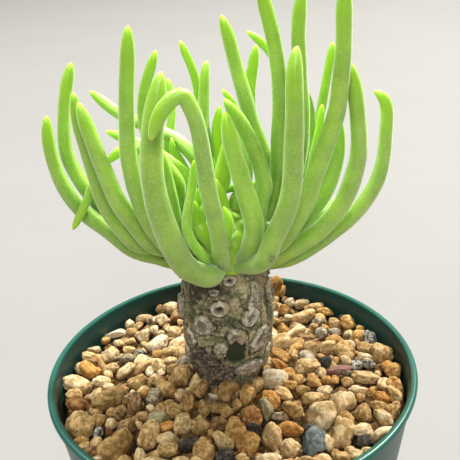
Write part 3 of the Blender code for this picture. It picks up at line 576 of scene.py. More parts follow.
# Where the eye sees the root ends of the front leaves: right, up, and in front of the stem's axis, in
# millimetres, then the neck's width as a share of the leaf's, and how many millimetres of its course are
# led there.
ROOTS = {
    "front_broad": (-2.2, -12.4, 11.5, 0.4, 9),
    "front_arched": (-0.6, -11.8, 13.0, 0.4, 9),
    "front_right_broad": (1.2, -11.3, 10.5, 0.5, 9),
    "front_middle": (3.9, -9.9, 8.5, 1.12, 9),
    "front_left_cupped": (-4.2, -11.4, 11.0, 0.36, 9),
    "front_left_inner": (-7.0, -9.6, 8.0, 0.36, 9),
    "middle_slanting": (8.6, -4.0, 6.5, 0.7, 16),
    "middle_tall": (8.6, -2.6, 3.0, 0.7, 17),
    "right_middle_tallest": (10.0, -3.4, 4.0, 0.7, 17),
    "middle_tucked": (9.4, -2.6, 0.0, 0.7, 15),
}

# A dry spot on one leaf's root: right and up as the eye sees it, and the radii between which it fades.
BRUISED_LEAF = "front_right_broad"
BRUISE = (12.6 * MM, -8.6 * MM)
BRUISE_FADES = (1.7 * MM, 0.3 * MM)

# Each leaf seen from the eye: name, bearing and pitch of its seat in degrees, width, its course as
# (right, up) from the middle of the view, and how far in front of the stem's axis it runs, from its start
# to its tip. All lengths are millimetres.
LEAVES = (
    ("left_lowest", 188, 4, 4.6,
     ((-28.5, -6), (-36, -0.9), (-46, 7.8), (-51.6, 16.9), (-54.5, 28.4), (-54.9, 34.2)), (-1,)),
    ("left_outer_tall", 166, 4, 4.5,
     ((-39, 7.5), (-44.7, 14.6), (-49, 23.8), (-50.1, 31), (-50.1, 38.7), (-48.2, 50.4)), (-6, -10)),
    ("left_twin_back", 181, 20, 4.3,
     ((-27, -4.5), (-34.8, 3), (-41.6, 18.9), (-44.1, 27.3), (-47.1, 41.1)), (8,)),
    ("left_twin_front", 205, 20, 5.2,
     ((-21.9, -5.1), (-27.9, 1.2), (-33.7, 9.1), (-37.2, 16.9), (-41.1, 26.1), (-46, 38.4)), (9, 14, 12)),
    ("left_drooping", 190, 40, 3.0,
     ((-33, 7.5), (-38.1, 12), (-41, 13.8), (-42.6, 10.2), (-45, 4.8), (-47.1, 0)), (3,)),
    ("left_upright", 219, 20, 4.4,
     ((-22.5, -0.6), (-27.9, 12), (-30.7, 24.3), (-31.2, 31.2), (-31.1, 45), (-30.9, 61.2)), (14, 18)),
    ("front_broad", 258, 4, 6.5,
     ((-6.9, -14.7), (-10.5, -13.2), (-15, -9), (-17.7, -3.9), (-21.9, 7.5), (-23.7, 21), (-23.4, 27),
      (-20.8, 47.4)),
     (22, 26, 31, 34, 34, 33, 30)),
    ("front_arched", 264, 20, 4.3,
     ((-1.4, -10.2), (-3.2, -3.9), (-6.3, 11.1), (-9, 26.7), (-11.4, 35.8), (-14.9, 40.8), (-18.3, 38.6),
      (-20.7, 35.8), (-23.6, 26.9)), (18, 24, 32, 36, 39, 40, 40, 41, 41)),
    ("back_left_long", 140, 40, 3.6,
     ((-4.2, 9), (-9, 19.5), (-14.9, 26.1), (-23.4, 30.9), (-33.6, 35.4), (-41.9, 41.7)), (-12, -22)),
    ("back_left_low", 154, 40, 3.0,
     ((-7.5, 4.5), (-12.6, 15), (-19.5, 21.9), (-27.3, 26.1), (-36.4, 29.6)), (-9,)),
    ("left_hooked", 168, 20, 3.2,
     ((-12, 3), (-15.3, 14.1), (-18.6, 18.9), (-22.5, 22.8), (-27.3, 24.3), (-32.7, 23.7), (-36.9, 20.1)),
     (-2,)),
    ("left_inner", 201, 40, 3.5,
     ((-15, 4.5), (-21, 16.5), (-24.6, 27), (-26, 33.6), (-26, 39), (-22.2, 53.9)), (4,)),
    ("back_left_tall", 118, 50, 2.6,
     ((-3, 8), (-6, 18), (-8.5, 30), (-9.5, 39.3), (-10.9, 46.2), (-15.5, 56.8)), (-14,)),
    ("back_left_straight", 150, 60, 3.3,
     ((-4, 10), (-7, 22), (-8.1, 31.5), (-8, 40.5), (-7.7, 47.2), (-7.2, 50.8)), (-4, -8)),
    ("back_left_upright", 125, 20, 3.0,
     ((-13.5, 4.5), (-17.4, 15), (-18.6, 24), (-17.7, 31.5), (-17.4, 37.5), (-18.7, 45.4)), (-20, -30)),
    ("back_left_short", 122, 40, 2.8,
     ((-9, 5.4), (-13.5, 18), (-16.7, 24.3), (-17.6, 27.8)), (-15,)),
    ("front_left_inner", 232, 40, 4.0,
     ((-10.5, -6), (-14.4, -0.6), (-17.6, 9.9), (-20.6, 23.9)), (12, 14)),
    ("front_left_cupped", 240, 16, 3.4,
     ((-6.5, -9.2), (-9.9, -5.7), (-12, -2.4), (-13.1, 1.2), (-12.9, 5.1), (-11.4, 13.5), (-10.7, 21)),
     (20,)),
    ("heart_left_front", 252, 40, 4.0,
     ((-5.4, -7.5), (-9.6, 2.4), (-11, 8.8)), (13,)),
    ("heart_left", 185, 60, 3.0,
     ((-7.2, 2.4), (-9, 8.1), (-10.2, 12.9)), (6,)),
    ("heart_back_upright", 130, 60, 3.2,
     ((-0.6, 4.5), (-1.8, 13.5), (-3.5, 23.4), (-4, 28), (-2.9, 37.2)), (-6,)),
    ("front_middle", 300, 34, 5.5,
     ((7.8, -5.4), (7.2, 1.5), (3.9, 12.9), (1.1, 22.3), (-1.5, 35.6)), (20,)),
    ("heart_leaning", 232, 60, 3.6,
     ((-3.6, 3), (-4.2, 10.5), (-1.2, 21.6), (1.8, 33.9)), (8,)),
    ("heart_middle", 190, 80, 3.2,
     ((3.3, 0), (1.8, 5.4), (-1.5, 14.8)), (-4, 2)),
    ("heart_front", 271, 40, 3.0,
     ((0.9, -5.4), (-0.5, 2.9), (-2, 7.1)), (15,)),
    ("heart_left_young", 215, 40, 2.6,
     ((-1.2, 5.4), (-2.4, 10.5), (-4.2, 15.6)), (10,)),
    ("middle_slanting", 280, 60, 3.8,
     ((8.4, -3), (9.9, 10.5), (8.1, 21.6), (3.3, 32), (-2, 39.5)), (12,)),
    ("back_middle_thin", 95, 60, 2.3,
     ((9.6, 15), (6.6, 27), (1.8, 36.6), (-2.4, 42.4)), (-4,)),
    ("middle_tall", 300, 80, 4.2,
     ((9.6, -1.5), (9.9, 15), (6, 33), (1.8, 48), (-1.5, 59.8), (-3.2, 64.6)), (2,)),
    ("middle_tucked", 60, 80, 3.0,
     ((10.8, 9), (9.9, 23.4), (7.5, 33.6)), (-6,)),
    ("back_middle_upright", 60, 60, 3.0,
     ((9.6, 12), (6, 34.5), (5.7, 41.4), (6.9, 50.7), (7.6, 55.5)), (-12,)),
    ("back_right_hooked", 62, 40, 3.0,
     ((12, 12), (15.3, 37.5), (14.7, 45), (13.2, 51), (8, 57.5), (5.1, 59.7)), (-20,)),
    ("right_middle_tallest", 325, 60, 4.3,
     ((8.4, -3.9), (12.3, 11.7), (14.7, 30.3), (14.9, 40.5), (14.1, 51), (8.4, 75)), (6, 8)),
    ("front_right_broad", 302, 14, 5.6,
     ((8.4, -8.1), (15.3, 1.5), (18.6, 15.6), (19.2, 28.5), (19.5, 48), (20.2, 55.4)), (20, 26, 28, 28, 26)),
    ("right_straight", 326, 40, 4.3,
     ((13.5, 1.5), (18, 12), (21.6, 36), (21, 48), (20.6, 58.5), (21.9, 73.2)), (8, 10)),
    ("right_inner", 32, 40, 3.3,
     ((16.5, 2.4), (21, 12), (24.8, 27), (24.3, 33), (21.9, 43.8)), (-2, -6)),
    ("right_young", 356, 40, 2.8,
     ((21, 10.5), (25.5, 24.9), (27.2, 33.6), (27.7, 37.8)), (2,)),
    ("back_right_young", 42, 20, 2.0,
     ((23.7, 16.5), (24.9, 22.2), (22.6, 27.8)), (-14,)),
    ("back_right_upright", 20, 20, 3.2,
     ((18, 4.5), (25.2, 24.6), (26.7, 32.4), (29, 45.9), (30.8, 56.5)), (-10,)),
    ("right_tallest", 312, 20, 5.4,
     ((13.5, -5.1), (18.9, 1.5), (27, 21.6), (32, 35.4), (33.9, 54), (34.5, 75)), (12, 14)),
    ("right_curved_inner", 335, 20, 3.6,
     ((14.4, -3.9), (22.8, 3.9), (28.6, 11.1), (32.6, 21.9), (33.9, 33.6)), (4,)),
    ("right_curved", 322, 16, 5.3,
     ((16.8, -6.3), (26.1, -0.6), (33, 6.6), (38.4, 20.1), (38.4, 34.5), (36.5, 50.2)), (10, 12)),
    ("right_lowest", 335, 4, 4.8,
     ((16.5, -8.7), (27.6, -3.3), (37.2, 4.8), (43.5, 13.8), (47, 27), (46.3, 40.4), (44.3, 41.8)), (3, 4)),
    ("right_tucked", 357, 20, 3.8,
     ((19.5, -3.9), (27.9, 1.8), (34.5, 9.9), (38.1, 22.5)), (-4,)),
    ("rear_right_outer", 28, 4, 4.0,
     ((22, 2), (33, 9), (38, 20), (38.6, 30), (37.5, 42)), (-18, -24)),
    ("rear_right_inner", 48, 6, 4.2,
     ((18, 7), (27, 21), (31.5, 35), (33.5, 48)), (-24, -38)),
    ("rear_right_upright", 66, 6, 4.0,
     ((11, 8), (18, 18), (19.3, 32), (19.5, 44)), (-24, -36)),
    ("rear_middle_right", 84, 6, 4.0,
     ((8, 8), (13, 19), (14.8, 32), (14.5, 43)), (-26, -42)),
    ("rear_middle", 100, 6, 3.8,
     ((3, 8), (5, 16), (3.5, 26), (2.5, 33)), (-25, -38)),
    ("rear_middle_left", 114, 6, 3.8,
     ((-3, 8), (-7, 18), (-9.2, 28)), (-24, -34)),
    ("rear_left_inner", 130, 6, 4.2,
     ((-8, 8), (-17, 14), (-23, 24), (-22.8, 34), (-21.5, 42)), (-22, -36)),
    ("rear_left_upright", 147, 6, 4.0,
     ((-14, 8), (-25, 16), (-30, 28), (-31, 42), (-31, 52)), (-20, -32)),
    ("rear_left_outer", 164, 4, 3.8,
     ((-28, 4), (-39, 16), (-43, 27), (-45.5, 37)), (-14, -22)),
)


class Wire:
    """One output of a material's nodes. Python's operators on it add Math nodes."""

    def __init__(self, finish, socket):
        self.finish = finish
        self.socket = socket

    def maths(self, operation, *values):
        """A Math node's result from these wires and numbers."""
        return self.finish.node("Math", {"operation": operation}, dict(enumerate(values)))

    def step(self, low, high):
        """A smooth step from 0 where this wire is low to 1 where it is high."""
        sockets = {"Value": self, "From Min": low, "From Max": high}
        return self.finish.node("MapRange", {"interpolation_type": "SMOOTHSTEP"}, sockets)

    def __add__(self, other):
        return self.maths("ADD", self, other)

    def __sub__(self, other):
        return self.maths("SUBTRACT", self, other)

    def __rsub__(self, other):
        return self.maths("SUBTRACT", other, self)

    def __mul__(self, other):
        return self.maths("MULTIPLY", self, other)

    __radd__ = __add__
    __rmul__ = __mul__


class Finish:
    """A material made of one Principled shader, with its constants set on the shader's own sockets."""

    def __init__(self, name, constants):
        self.material = bpy.data.materials.new(name)
        self.material.use_nodes = True
        self.tree = self.material.node_tree
        self.shader = self.tree.nodes["Principled BSDF"]
        for socket, value in constants.items():
            self.shader.inputs[socket].default_value = value

    def node(self, kind, settings, sockets, output=0):
        """A node of this kind: its settings first, then its sockets' values or links."""
        made = self.tree.nodes.new("ShaderNode" + kind)
        for name, value in settings.items():
            setattr(made, name, value)
        for name, value in sockets.items():
            if isinstance(value, Wire):
                self.tree.links.new(value.socket, made.inputs[name])
            else:
                made.inputs[name].default_value = value
        return Wire(self, made.outputs[output])

    def places(self):
        """Places on the object, in metres."""
        return self.node("TexCoord", {}, {}, output=3)

    def painted(self, *names):
        """Values stored on the mesh's points: one wire, or a list of them for several names."""
        wires = [self.node("Attribute", {"attribute_name": name}, {}, output=2) for name in names]
        return wires[0] if len(wires) == 1 else wires

    def grain(self, size, detail=3.0, roughness=0.55, warp=0.0, stretch=None):
        """Noise from 0 to 1 whose blotches are about this size, in metres."""
        where = self.places()
        if stretch:
            where = self.node("Mapping", {}, {"Vector": where, "Scale": stretch})
        sockets = {"Vector": where, "Scale": 1 / size, "Detail": detail}
        return self.node("TexNoise", {}, {**sockets, "Roughness": roughness, "Distortion": warp})

    def cells(self, size):
        """Distance from the nearest of points about this far apart, from 0 to 1."""
        return self.node("TexVoronoi", {}, {"Vector": self.places(), "Scale": 1 / size})

    def mix(self, share, first, second, blend="MIX"):
        """The first colour where the share is 0, the second where it is 1: wires, colours or their names."""
        sockets = {0: share}
        for socket, colour in ((6, first), (7, second)):
            sockets[socket] = colour if isinstance(colour, Wire) else (*TINTS.get(colour, colour), 1)
        return self.node("Mix", {"data_type": "RGBA", "blend_type": blend}, sockets, output=2)

    def coats(self, colour, *coats):
        """The colour with coats laid over it one after the other, each a share and a colour."""
        for share, tint in coats:
            colour = self.mix(share, colour, tint)
        return colour

    def shade(self, share, colour, by):
        """The colour made darker or paler by this much where the share is 1."""
        return self.mix(share, colour, by, "MULTIPLY")

    def bump(self, height, depth, strength):
        """Relief in the shading: a height from 0 to 1 over this depth, in metres."""
        return self.node("Bump", {}, {"Height": height, "Distance": depth, "Strength": strength})

    def wear(self, **surfaces):
        """Links what changes over the surface to the shader: colour, roughness, normal or glow."""
        names = {
            "colour": "Base Color",
            "roughness": "Roughness",
            "normal": "Normal",
            "glow": "Emission Color",
        }
        for surface, wire in surfaces.items():
            self.tree.links.new(wire.socket, self.shader.inputs[names[surface]])
        return self.material


def linked(name, data):
    """A new object of this data, in the scene."""
    made = bpy.data.objects.new(name, data)
    bpy.context.scene.collection.objects.link(made)
    return made


def new_object(name, mesh, material, nodes):
    """An object of this mesh that rides on the part's one body, and stands for these solids."""
    mesh.materials.append(material)
    made = linked(name, mesh)
    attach(made, "root")
    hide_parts(*nodes)
    return made


def mesh_of(name, points, faces, values=None):
    """A smooth mesh of these faces, all turned to face out, with values stored on its points."""
    mesh = bpy.data.meshes.new(name)
    mesh.from_pydata(np.asarray(points).tolist(), [], faces)
    work = bmesh.new()
    work.from_mesh(mesh)
    bmesh.ops.recalc_face_normals(work, faces=work.faces)
    work.to_mesh(mesh)
    work.free()
    mesh.shade_smooth()
    for key, numbers in (values or {}).items():
        stored = mesh.attributes.new(key, "FLOAT", "POINT")
        stored.data.foreach_set("value", np.asarray(numbers, np.float32).ravel())
    return mesh


def ring_faces(rings, sides):
    """The sides of a stack of rings, and an n-sided cap at each end."""
    faces = []
    for ring in range(rings - 1):
        for side in range(sides):
            after = (side + 1) % sides
            low, high = ring * sides, (ring + 1) * sides
            faces.append((low + side, low + after, high + after, high + side))
    faces.append(tuple(reversed(range(sides))))
    faces.append(tuple(range((rings - 1) * sides, rings * sides)))
    return faces


def turned_points(profile, sides):
    """Points of a profile of (radius, height) turned round the Z axis."""
    angles = np.arange(sides) * 2 * math.pi / sides
    rings = [
        np.stack((radius * np.cos(angles), radius * np.sin(angles), np.full(sides, height)), axis=1)
        for radius, height in profile
    ]
    return np.concatenate(rings)


def unit(vectors):
    """The vectors, each scaled to a length of 1."""
    return vectors / np.linalg.norm(vectors, axis=-1, keepdims=True)


def walked_along(paths):
    """How far along its path each point lies, for one path or for several with as many points."""
    steps = np.linalg.norm(np.diff(paths, axis=-2), axis=-1)
    return np.concatenate((np.zeros((*steps.shape[:-1], 1)), np.cumsum(steps, axis=-1)), axis=-1)


def ball(subdivisions):
    """The points and triangles of a unit ball."""
    work = bmesh.new()
    bmesh.ops.create_icosphere(work, subdivisions=subdivisions, radius=1)
    points = unit(np.array([vertex.co for vertex in work.verts]))
    faces = np.array([[vertex.index for vertex in face.verts] for face in work.faces])
    work.free()
    return points, faces


def view_axes():
    """The eye's directions: right, up and forward, with the camera's lean."""
    forward = unit(LOOKS_AT - EYE)
    level = np.array((1.0, 0.0, 0.0))
    upright = np.cross(level, forward)
    right = level * math.cos(LEAN) + upright * math.sin(LEAN)
    up = upright * math.cos(LEAN) - level * math.sin(LEAN)
    return right, up, forward


def noise_at(points, size, seed=0.0):
    """Noise from about -1 to 1 at each point, with blotches of this size."""
    shift = Vector((seed, seed * 1.7, seed * 0.6))
    return np.array([noise.noise(Vector(point) / size + shift) for point in points])


def smooth_step(value, start, end):
    """A smooth step from 0 at the start to 1 at the end, which may be the lower of the two."""
    share = np.clip((value - start) / (end - start), 0, 1)
    return share * share * (3 - 2 * share)


def band(value, opens, closes):
    """1 between two smooth steps, and 0 outside them."""
    return smooth_step(value, *opens) * smooth_step(value, *closes)


# Pot.

def pot_outer(height):
    """The radius of the pot's outer wall at a height."""
    return RIM_RADIUS - LIP_OVERHANG - (POT_HEIGHT - height) * math.tan(POT_TAPER)


def pot_finish():
    """Glossy green moulded plastic: faint flow marks, fine scuffs, dust, painted shade inside, a painted lip
    highlight.
    """
    finish = Finish("pot_plastic", {"IOR": 1.5, "Specular IOR Level": 0.42})
    cloud = finish.grain(26 * MM, 4)
    scuffs = finish.grain(3.2 * MM, 6, 0.7, 0.8, (1, 1, 4)).step(0.6, 0.78)
    dust = finish.grain(9 * MM, 5, 0.65).step(0.55, 0.8)
    inside, lip = finish.painted("inside", "lip")
    colour = finish.mix(scuffs * 0.16, finish.mix(cloud, "pot_deep", "pot_green"), "pot_scuff")
    # Painted shade over the inside wall and floor.
    colour = finish.shade(inside, colour, "pot_inside_shade")
    # The lip is made paler as a painted highlight, and dust is laid over it all.
    colour = finish.coats(colour, (lip * 0.5, "pot_lip_highlight"), (dust * 0.08, "pot_dust"))
    roughness = 0.32 + cloud * 0.1 + scuffs * 0.2 + dust * 0.15
    normal = finish.bump(finish.grain(14 * MM, 2) + scuffs * 0.15, 0.25 * MM, 0.5)
    return finish.wear(colour=colour, roughness=roughness, normal=normal)


def pot_profile():
    """Radii and heights round the pot's section, from the foot ring's inside up, over the lip and down."""
    foot = pot_outer(0)
    floor_top = FLOOR_RISE + FLOOR_THICKNESS
    roll = RIM_LIP / 2
    inner_top = POT_HEIGHT - INNER_WALL_DROP
    profile = [(foot - FOOT_WIDTH - FLOOR_RISE, FLOOR_RISE), (foot - FOOT_WIDTH, 0)]
    for angle in np.linspace(0, math.pi / 2, FOOT_STEPS):
        profile.append((foot - FOOT_ROUND * (1 - math.sin(angle)), FOOT_ROUND * (1 - math.cos(angle))))
    for height in np.linspace(FOOT_ROUND, POT_HEIGHT - RIM_LIP, WALL_STEPS)[1:]:
        profile.append((pot_outer(height), height))
    for angle in np.linspace(-math.pi / 2, math.pi / 2, LIP_STEPS):
        reach = RIM_RADIUS - roll + roll * math.cos(angle)
        profile.append((reach, POT_HEIGHT - roll + roll * math.sin(angle)))
    inner_edge = pot_outer(POT_HEIGHT) - POT_WALL + INNER_EDGE_ROUND
    profile.append((inner_edge, POT_HEIGHT - INNER_EDGE_DROP))
    for height in np.linspace(inner_top, floor_top, WALL_STEPS):
        profile.append((pot_outer(height) - POT_WALL, height))
    return profile


def drill(pot):
    """Cuts the drain holes through the pot's floor: a ring of them round one in the middle."""
    cutters = []
    for number in range(DRAIN_COUNT + 1):
        angle = 2 * math.pi * (number + 0.5) / DRAIN_COUNT
        ring = DRAIN_RING if number < DRAIN_COUNT else 0
        bpy.ops.mesh.primitive_cylinder_add(
            vertices=DRAIN_SIDES, radius=DRAIN_RADIUS, depth=4 * (FLOOR_RISE + FLOOR_THICKNESS),
            location=(ring * math.cos(angle), ring * math.sin(angle), 0),
        )
        cutters.append(bpy.context.active_object)
        cut = pot.modifiers.new(f"drain_{number}", "BOOLEAN")
        cut.operation = "DIFFERENCE"
        cut.object = cutters[-1]
    bpy.context.view_layer.objects.active = pot
    for cut in list(pot.modifiers):
        bpy.ops.object.modifier_apply(modifier=cut.name)
    for cutter in cutters:
        bpy.data.objects.remove(cutter)


def make_pot():
    """The tapered wall with its rolled lip, on a foot ring round a raised floor with drain holes."""
    profile = pot_profile()
    points = turned_points(profile, POT_SIDES)
    reach, height = np.hypot(points[:, 0], points[:, 1]), points[:, 2]
    wall_middle = pot_outer(height) - POT_WALL / 2
    # Where the inside gets painted shade, and the lip a painted highlight.
    values = {
        "inside": (reach < wall_middle) & (height < POT_HEIGHT - INSIDE_SHADE_DROP),
        "lip": (reach > wall_middle) & (height > POT_HEIGHT - RIM_LIP),
    }
    mesh = mesh_of("pot_moulded", points, ring_faces(len(profile), POT_SIDES), values)
    pot = new_object("pot_moulded", mesh, pot_finish(), ["pot"])
    drill(pot)
    pot.data.set_sharp_from_angle(angle=SHARP_ANGLE)


# Stem.

def stem_radius(rise):
    """The stem's plain radius in millimetres at heights above the rim."""
    return np.interp(rise, [point[0] for point in STEM_PROFILE], [point[1] for point in STEM_PROFILE])


def all_scars():
    """The scars in front, then a spiral of like ones round the back."""
    draw = random.Random(BACK_SCAR_SEED)
    found = list(SCARS)
    for number in range(BACK_SCARS):
        bearing = math.degrees((number * GOLDEN_ANGLE) % math.pi) + BACK_SCAR_FROM
        rise = float(np.interp(number, (0, BACK_SCARS - 1), BACK_SCAR_RISE))
        wide = draw.uniform(*BACK_SCAR_WIDTHS)
        tall = wide * draw.uniform(*BACK_SCAR_TALLNESS)
        turn, height = draw.uniform(*BACK_SCAR_TURNS), draw.uniform(*BACK_SCAR_RISES)
        dish, pit = draw.uniform(*BACK_SCAR_DISHES), draw.choice(BACK_SCAR_PITS)
        found.append((bearing, rise, wide, tall, turn, height, dish, pit))
    return found


def oval_distance(bearings, rises, middle, reach, turn=0.0):
    """How far each point lies from an oval's middle on the stem's side, 1 at its edge."""
    bearing, rise = middle
    apart = (bearings - bearing + 180) % 360 - 180
    across = np.radians(apart) * stem_radius(rise)
    along = rises - rise
    cos, sin = math.cos(math.radians(turn)), math.sin(math.radians(turn))
    return np.hypot((across * cos + along * sin) / reach[0], (along * cos - across * sin) / reach[1])


def scar_forms(bearings, rises, ragged):
    """How much of each point is a scar's pad, dish, pit, rim and crease, and how far the scars stand out."""
    pads, stands, dishes, pits, rims, creases = np.zeros((6, len(rises)))
    for bearing, rise, wide, tall, turn, height, dish, pit in all_scars():
        away = oval_distance(bearings, rises, (bearing, rise), (wide, tall), turn) * ragged
        pad, inner, deep = (smooth_step(away, *zone) for zone in (SCAR_PAD, SCAR_DISH, SCAR_PIT))
        crease = band(away, *SCAR_CREASE)
        domed = height * pad * (1.05 - 0.3 * np.minimum(away, 1) ** 2)
        stands = np.maximum(stands, domed - dish * inner - pit * deep)
        dishes = np.maximum(dishes, inner * min(1, dish * 3))
        pits = np.maximum(pits, deep * min(1, pit * 1.2))
        rims = np.maximum(rims, band(away, *SCAR_RIM))
        creases = np.maximum(creases * (1 - pad), crease * (1 - pads))
        pads = np.maximum(pads, pad)
    return pads, stands, dishes, pits, rims, creases


def patches(ovals, bearings, rises, ragged, zone):
    """1 in the middle of any of these ovals and 0 outside them all, with ragged edges."""
    covered = np.zeros(len(rises))
    for bearing, rise, wide, tall in ovals:
        away = oval_distance(bearings, rises, (bearing, rise), (wide, tall)) + ragged
        covered = np.maximum(covered, smooth_step(away, *zone))
    return covered


def make_stem():
    """The swollen stem: rough skin, corky leaf scars, flaking crust and bare green notch."""
    rows = int((BARK_TO - BARK_FROM) / BARK_STEP) + 1
    rises = np.repeat(np.linspace(BARK_FROM, BARK_TO, rows), BARK_SIDES)
    bearings = np.tile(np.arange(BARK_SIDES) * 360 / BARK_SIDES, rows)
    turns = np.radians(bearings)
    plain = stem_radius(rises) + 0.25 * np.cos(3 * turns + 1.0) + 0.2 * np.cos(2 * turns + rises / 9)
    skin = np.stack((plain * np.cos(turns), plain * np.sin(turns), rises), axis=1)
    coarse, middle, fine = noise_at(skin, *COARSE), noise_at(skin, *MIDDLE), noise_at(skin, *FINE)
    folds = smooth_step(np.abs(noise_at(skin * (1, 1, FOLD_FLATNESS), *FOLDS)), *FOLD_WIDTH)
    ragged = 1 + 0.16 * middle + 0.08 * fine
    relief = 0.4 * coarse + 0.24 * middle + 0.11 * fine - FOLD_DEPTH * folds

    pads, stands, dishes, pits, rims, creases = scar_forms(bearings, rises, ragged)
    relief = relief * (1 - 0.4 * pads) + stands - pits * 0.4 - CREASE_DEPTH * creases
    cork = patches(CORK, bearings, rises, 0.3 * middle + 0.25 * fine, CORK_ZONE)
    moss = patches(MOSS, bearings, rises, 0.3 * middle + 0.25 * coarse, MOSS_ZONE) * (1 - pads)
    dark = patches(DARK_SKIN, bearings, rises, 0.35 * middle + 0.3 * coarse, DARK_ZONE)
    relief += CORK_RISE * cork * (1 + fine) - MOSS_DEPTH * moss
    for bearing, rise, wide, tall, height in SCRAPS:
        away = oval_distance(bearings, rises, (bearing, rise), (wide, tall), SCRAP_TURN) * ragged
        scrap = smooth_step(away, *SCRAP_ZONE)
        relief += height * scrap * (1 + 0.35 * middle + 0.3 * fine)
        cork = np.maximum(cork * (1 - scrap), 0.5 * scrap)

    notched = oval_distance(bearings, rises, NOTCH_MIDDLE, NOTCH_REACH, NOTCH_TURN)
    notched = notched + 0.34 * middle + 0.3 * coarse
    notch, torn = smooth_step(notched, *NOTCH_ZONE), band(notched, *TORN_ZONE)
    crusted = oval_distance(bearings, rises, CRUST_MIDDLE, CRUST_REACH)
    crusted = crusted + 0.22 * middle + 0.22 * coarse + 0.1 * fine
    crust = smooth_step(crusted, *CRUST_ZONE) * (1 - notch)
    crust_rim = smooth_step(np.abs(crusted - 0.9), 0.07, 0.02) * smooth_step(fine + middle, -0.25, 0.25)
    flakes = np.abs(noise_at(skin * (1, 1, FLAKE_FLATNESS), *FLAKES))
    cracks = smooth_step(flakes, *CRACK_ZONE)
    edges = band(flakes, *FLAKE_EDGE) * smooth_step(middle + coarse, -0.2, 0.3)
    relief += crust * (CRUST_RISE + 0.55 * middle + 0.35 * fine - CRACK_DEPTH * cracks + 0.3 * edges)
    relief = relief * (1 - 0.85 * notch) - NOTCH_DEPTH * notch + TORN_RISE * torn

    pads = pads * (1 - notch)
    cork = np.clip(np.maximum(np.maximum(cork, crust_rim), 0.8 * torn) * (1 - notch), 0, 1)
    radius = plain + relief
    shift = STEM_LEAN[0] + STEM_LEAN[1] * smooth_step(rises, *STEM_LEAN_FADES)
    columns = (radius * np.cos(turns) + shift, radius * np.sin(turns), POT_HEIGHT / MM + rises)
    # Creases and cracks carry painted shade, and scar rims and flake edges a painted highlight.
    values = {
        "scar": pads, "dish": dishes, "pit": pits, "crease": creases, "rim": rims * (1 - notch) * (1 - crust),
        "crust": crust, "crack": crust * cracks, "edge": crust * edges,
        "notch": notch, "cork": cork, "dark": dark, "moss": moss,
    }
    mesh = mesh_of("stem_bark", np.stack(columns, axis=1) * MM, ring_faces(rows, BARK_SIDES), values)
    new_object("stem_bark", mesh, bark_finish(), ["stem"])


def bark_finish():
    """Olive and brown skin, mossy patches, pale grey scars with brown dishes and dark pits, painted shade and
    highlights.
    """
    finish = Finish("stem_bark", {"IOR": 1.45, "Specular IOR Level": 0.5})
    scar, dish, pit, crease, rim = finish.painted("scar", "dish", "pit", "crease", "rim")
    crust, crack, edge, notch = finish.painted("crust", "crack", "edge", "notch")
    cork, dark, moss = finish.painted("cork", "dark", "moss")
    broad = finish.grain(4.5 * MM, 3, 0.6, 0.4)
    mottle = finish.grain(1.5 * MM, 5, 0.68, 0.6)
    streak = finish.grain(1.6 * MM, 4, 0.65, 0.3, (1, 1, 0.3))
    speck = finish.grain(0.42 * MM, 4, 0.72)
    greens = finish.grain(5.0 * MM, 2, 0.5, 0.3).step(0.44, 0.58)
    flecks = finish.cells(0.75 * MM).step(0.26, 0.12) * scar
    blotches = mottle.step(0.4, 0.62)
    brown = finish.coats(
        finish.mix(blotches, "crust_dark", "crust_brown"),
        (speck.step(0.57, 0.68) * 0.6, "crust_speck"),
        # Painted shade in the crust's cracks.
        (crack * 0.85, "crust_crack_shade"),
        # Pale flake edges, partly their colour and partly a painted highlight.
        (edge * speck.step(0.35, 0.55) * 0.7, "crust_edge_pale_highlight"),
    )
    colour = finish.coats(
        finish.mix(broad.step(0.4, 0.6), "skin_brown", "skin_tan"),
        (greens * 0.6, "skin_green"),
        (mottle.step(0.48, 0.64) * 0.7, "skin_dry"),
        (streak.step(0.5, 0.38) * 0.6, "skin_streak"),
        (speck.step(0.54, 0.64) * 0.7, "skin_speck"),
        (dark * mottle.step(0.7, 0.5) * 0.85, "skin_dark"),
        (moss * 0.75, finish.mix(blotches, "moss_deep", "moss_green")),
        (crust, brown),
        (scar * (0.94 - 0.5 * crust), finish.mix(mottle.step(0.42, 0.6), "scar_grey", "scar_pale")),
        (dish * mottle.step(0.2, 0.55) * 0.8, "scar_dish"),
        # Pale scar rims, partly their colour and partly a painted highlight.
        (rim * broad.step(0.42, 0.56) * speck.step(0.4, 0.6) * 0.7, "scar_rim_pale_highlight"),
        (cork * mottle.step(0.3, 0.48) * 0.85, "cork"),
        (pit * 0.92, "scar_pit"),
        (flecks * 0.75, "scar_fleck"),
        # Painted shade in the creases round the scars.
        (crease * mottle.step(0.64, 0.47) * 0.9, "scar_crease_shade"),
        (notch, finish.mix(mottle, "notch_deep", "notch_green")),
    )
    roughness = 0.78 - notch * 0.42 - moss * 0.25 - rim * 0.2 - speck.step(0.6, 0.75) * 0.25
    normal = finish.bump(mottle * 0.7 + speck * 0.55 + streak * 0.3, 0.5 * MM, 1.0)
    return finish.wear(colour=colour, roughness=roughness, normal=normal)


def crown_finish():
    """Young green flesh round the leaves' roots, and bare corky green behind, darkened as painted shade."""
    finish = Finish("crown_growth", {"Roughness": 0.45, "Subsurface Weight": 0.2, "Subsurface Scale": 2 * MM})
    green = finish.mix(finish.grain(3 * MM, 3), "crown_deep", "crown_green")
    corky = finish.mix(finish.grain(1.2 * MM, 4, 0.65), "shaded_bare_deep", "shaded_bare")
    # The bare skin is partly its own corky colour and partly painted shade.
    colour = finish.mix(finish.painted("bare") * 0.9, green, corky)
    return finish.wear(colour=colour, normal=finish.bump(finish.grain(0.8 * MM), 0.1 * MM, 0.5))


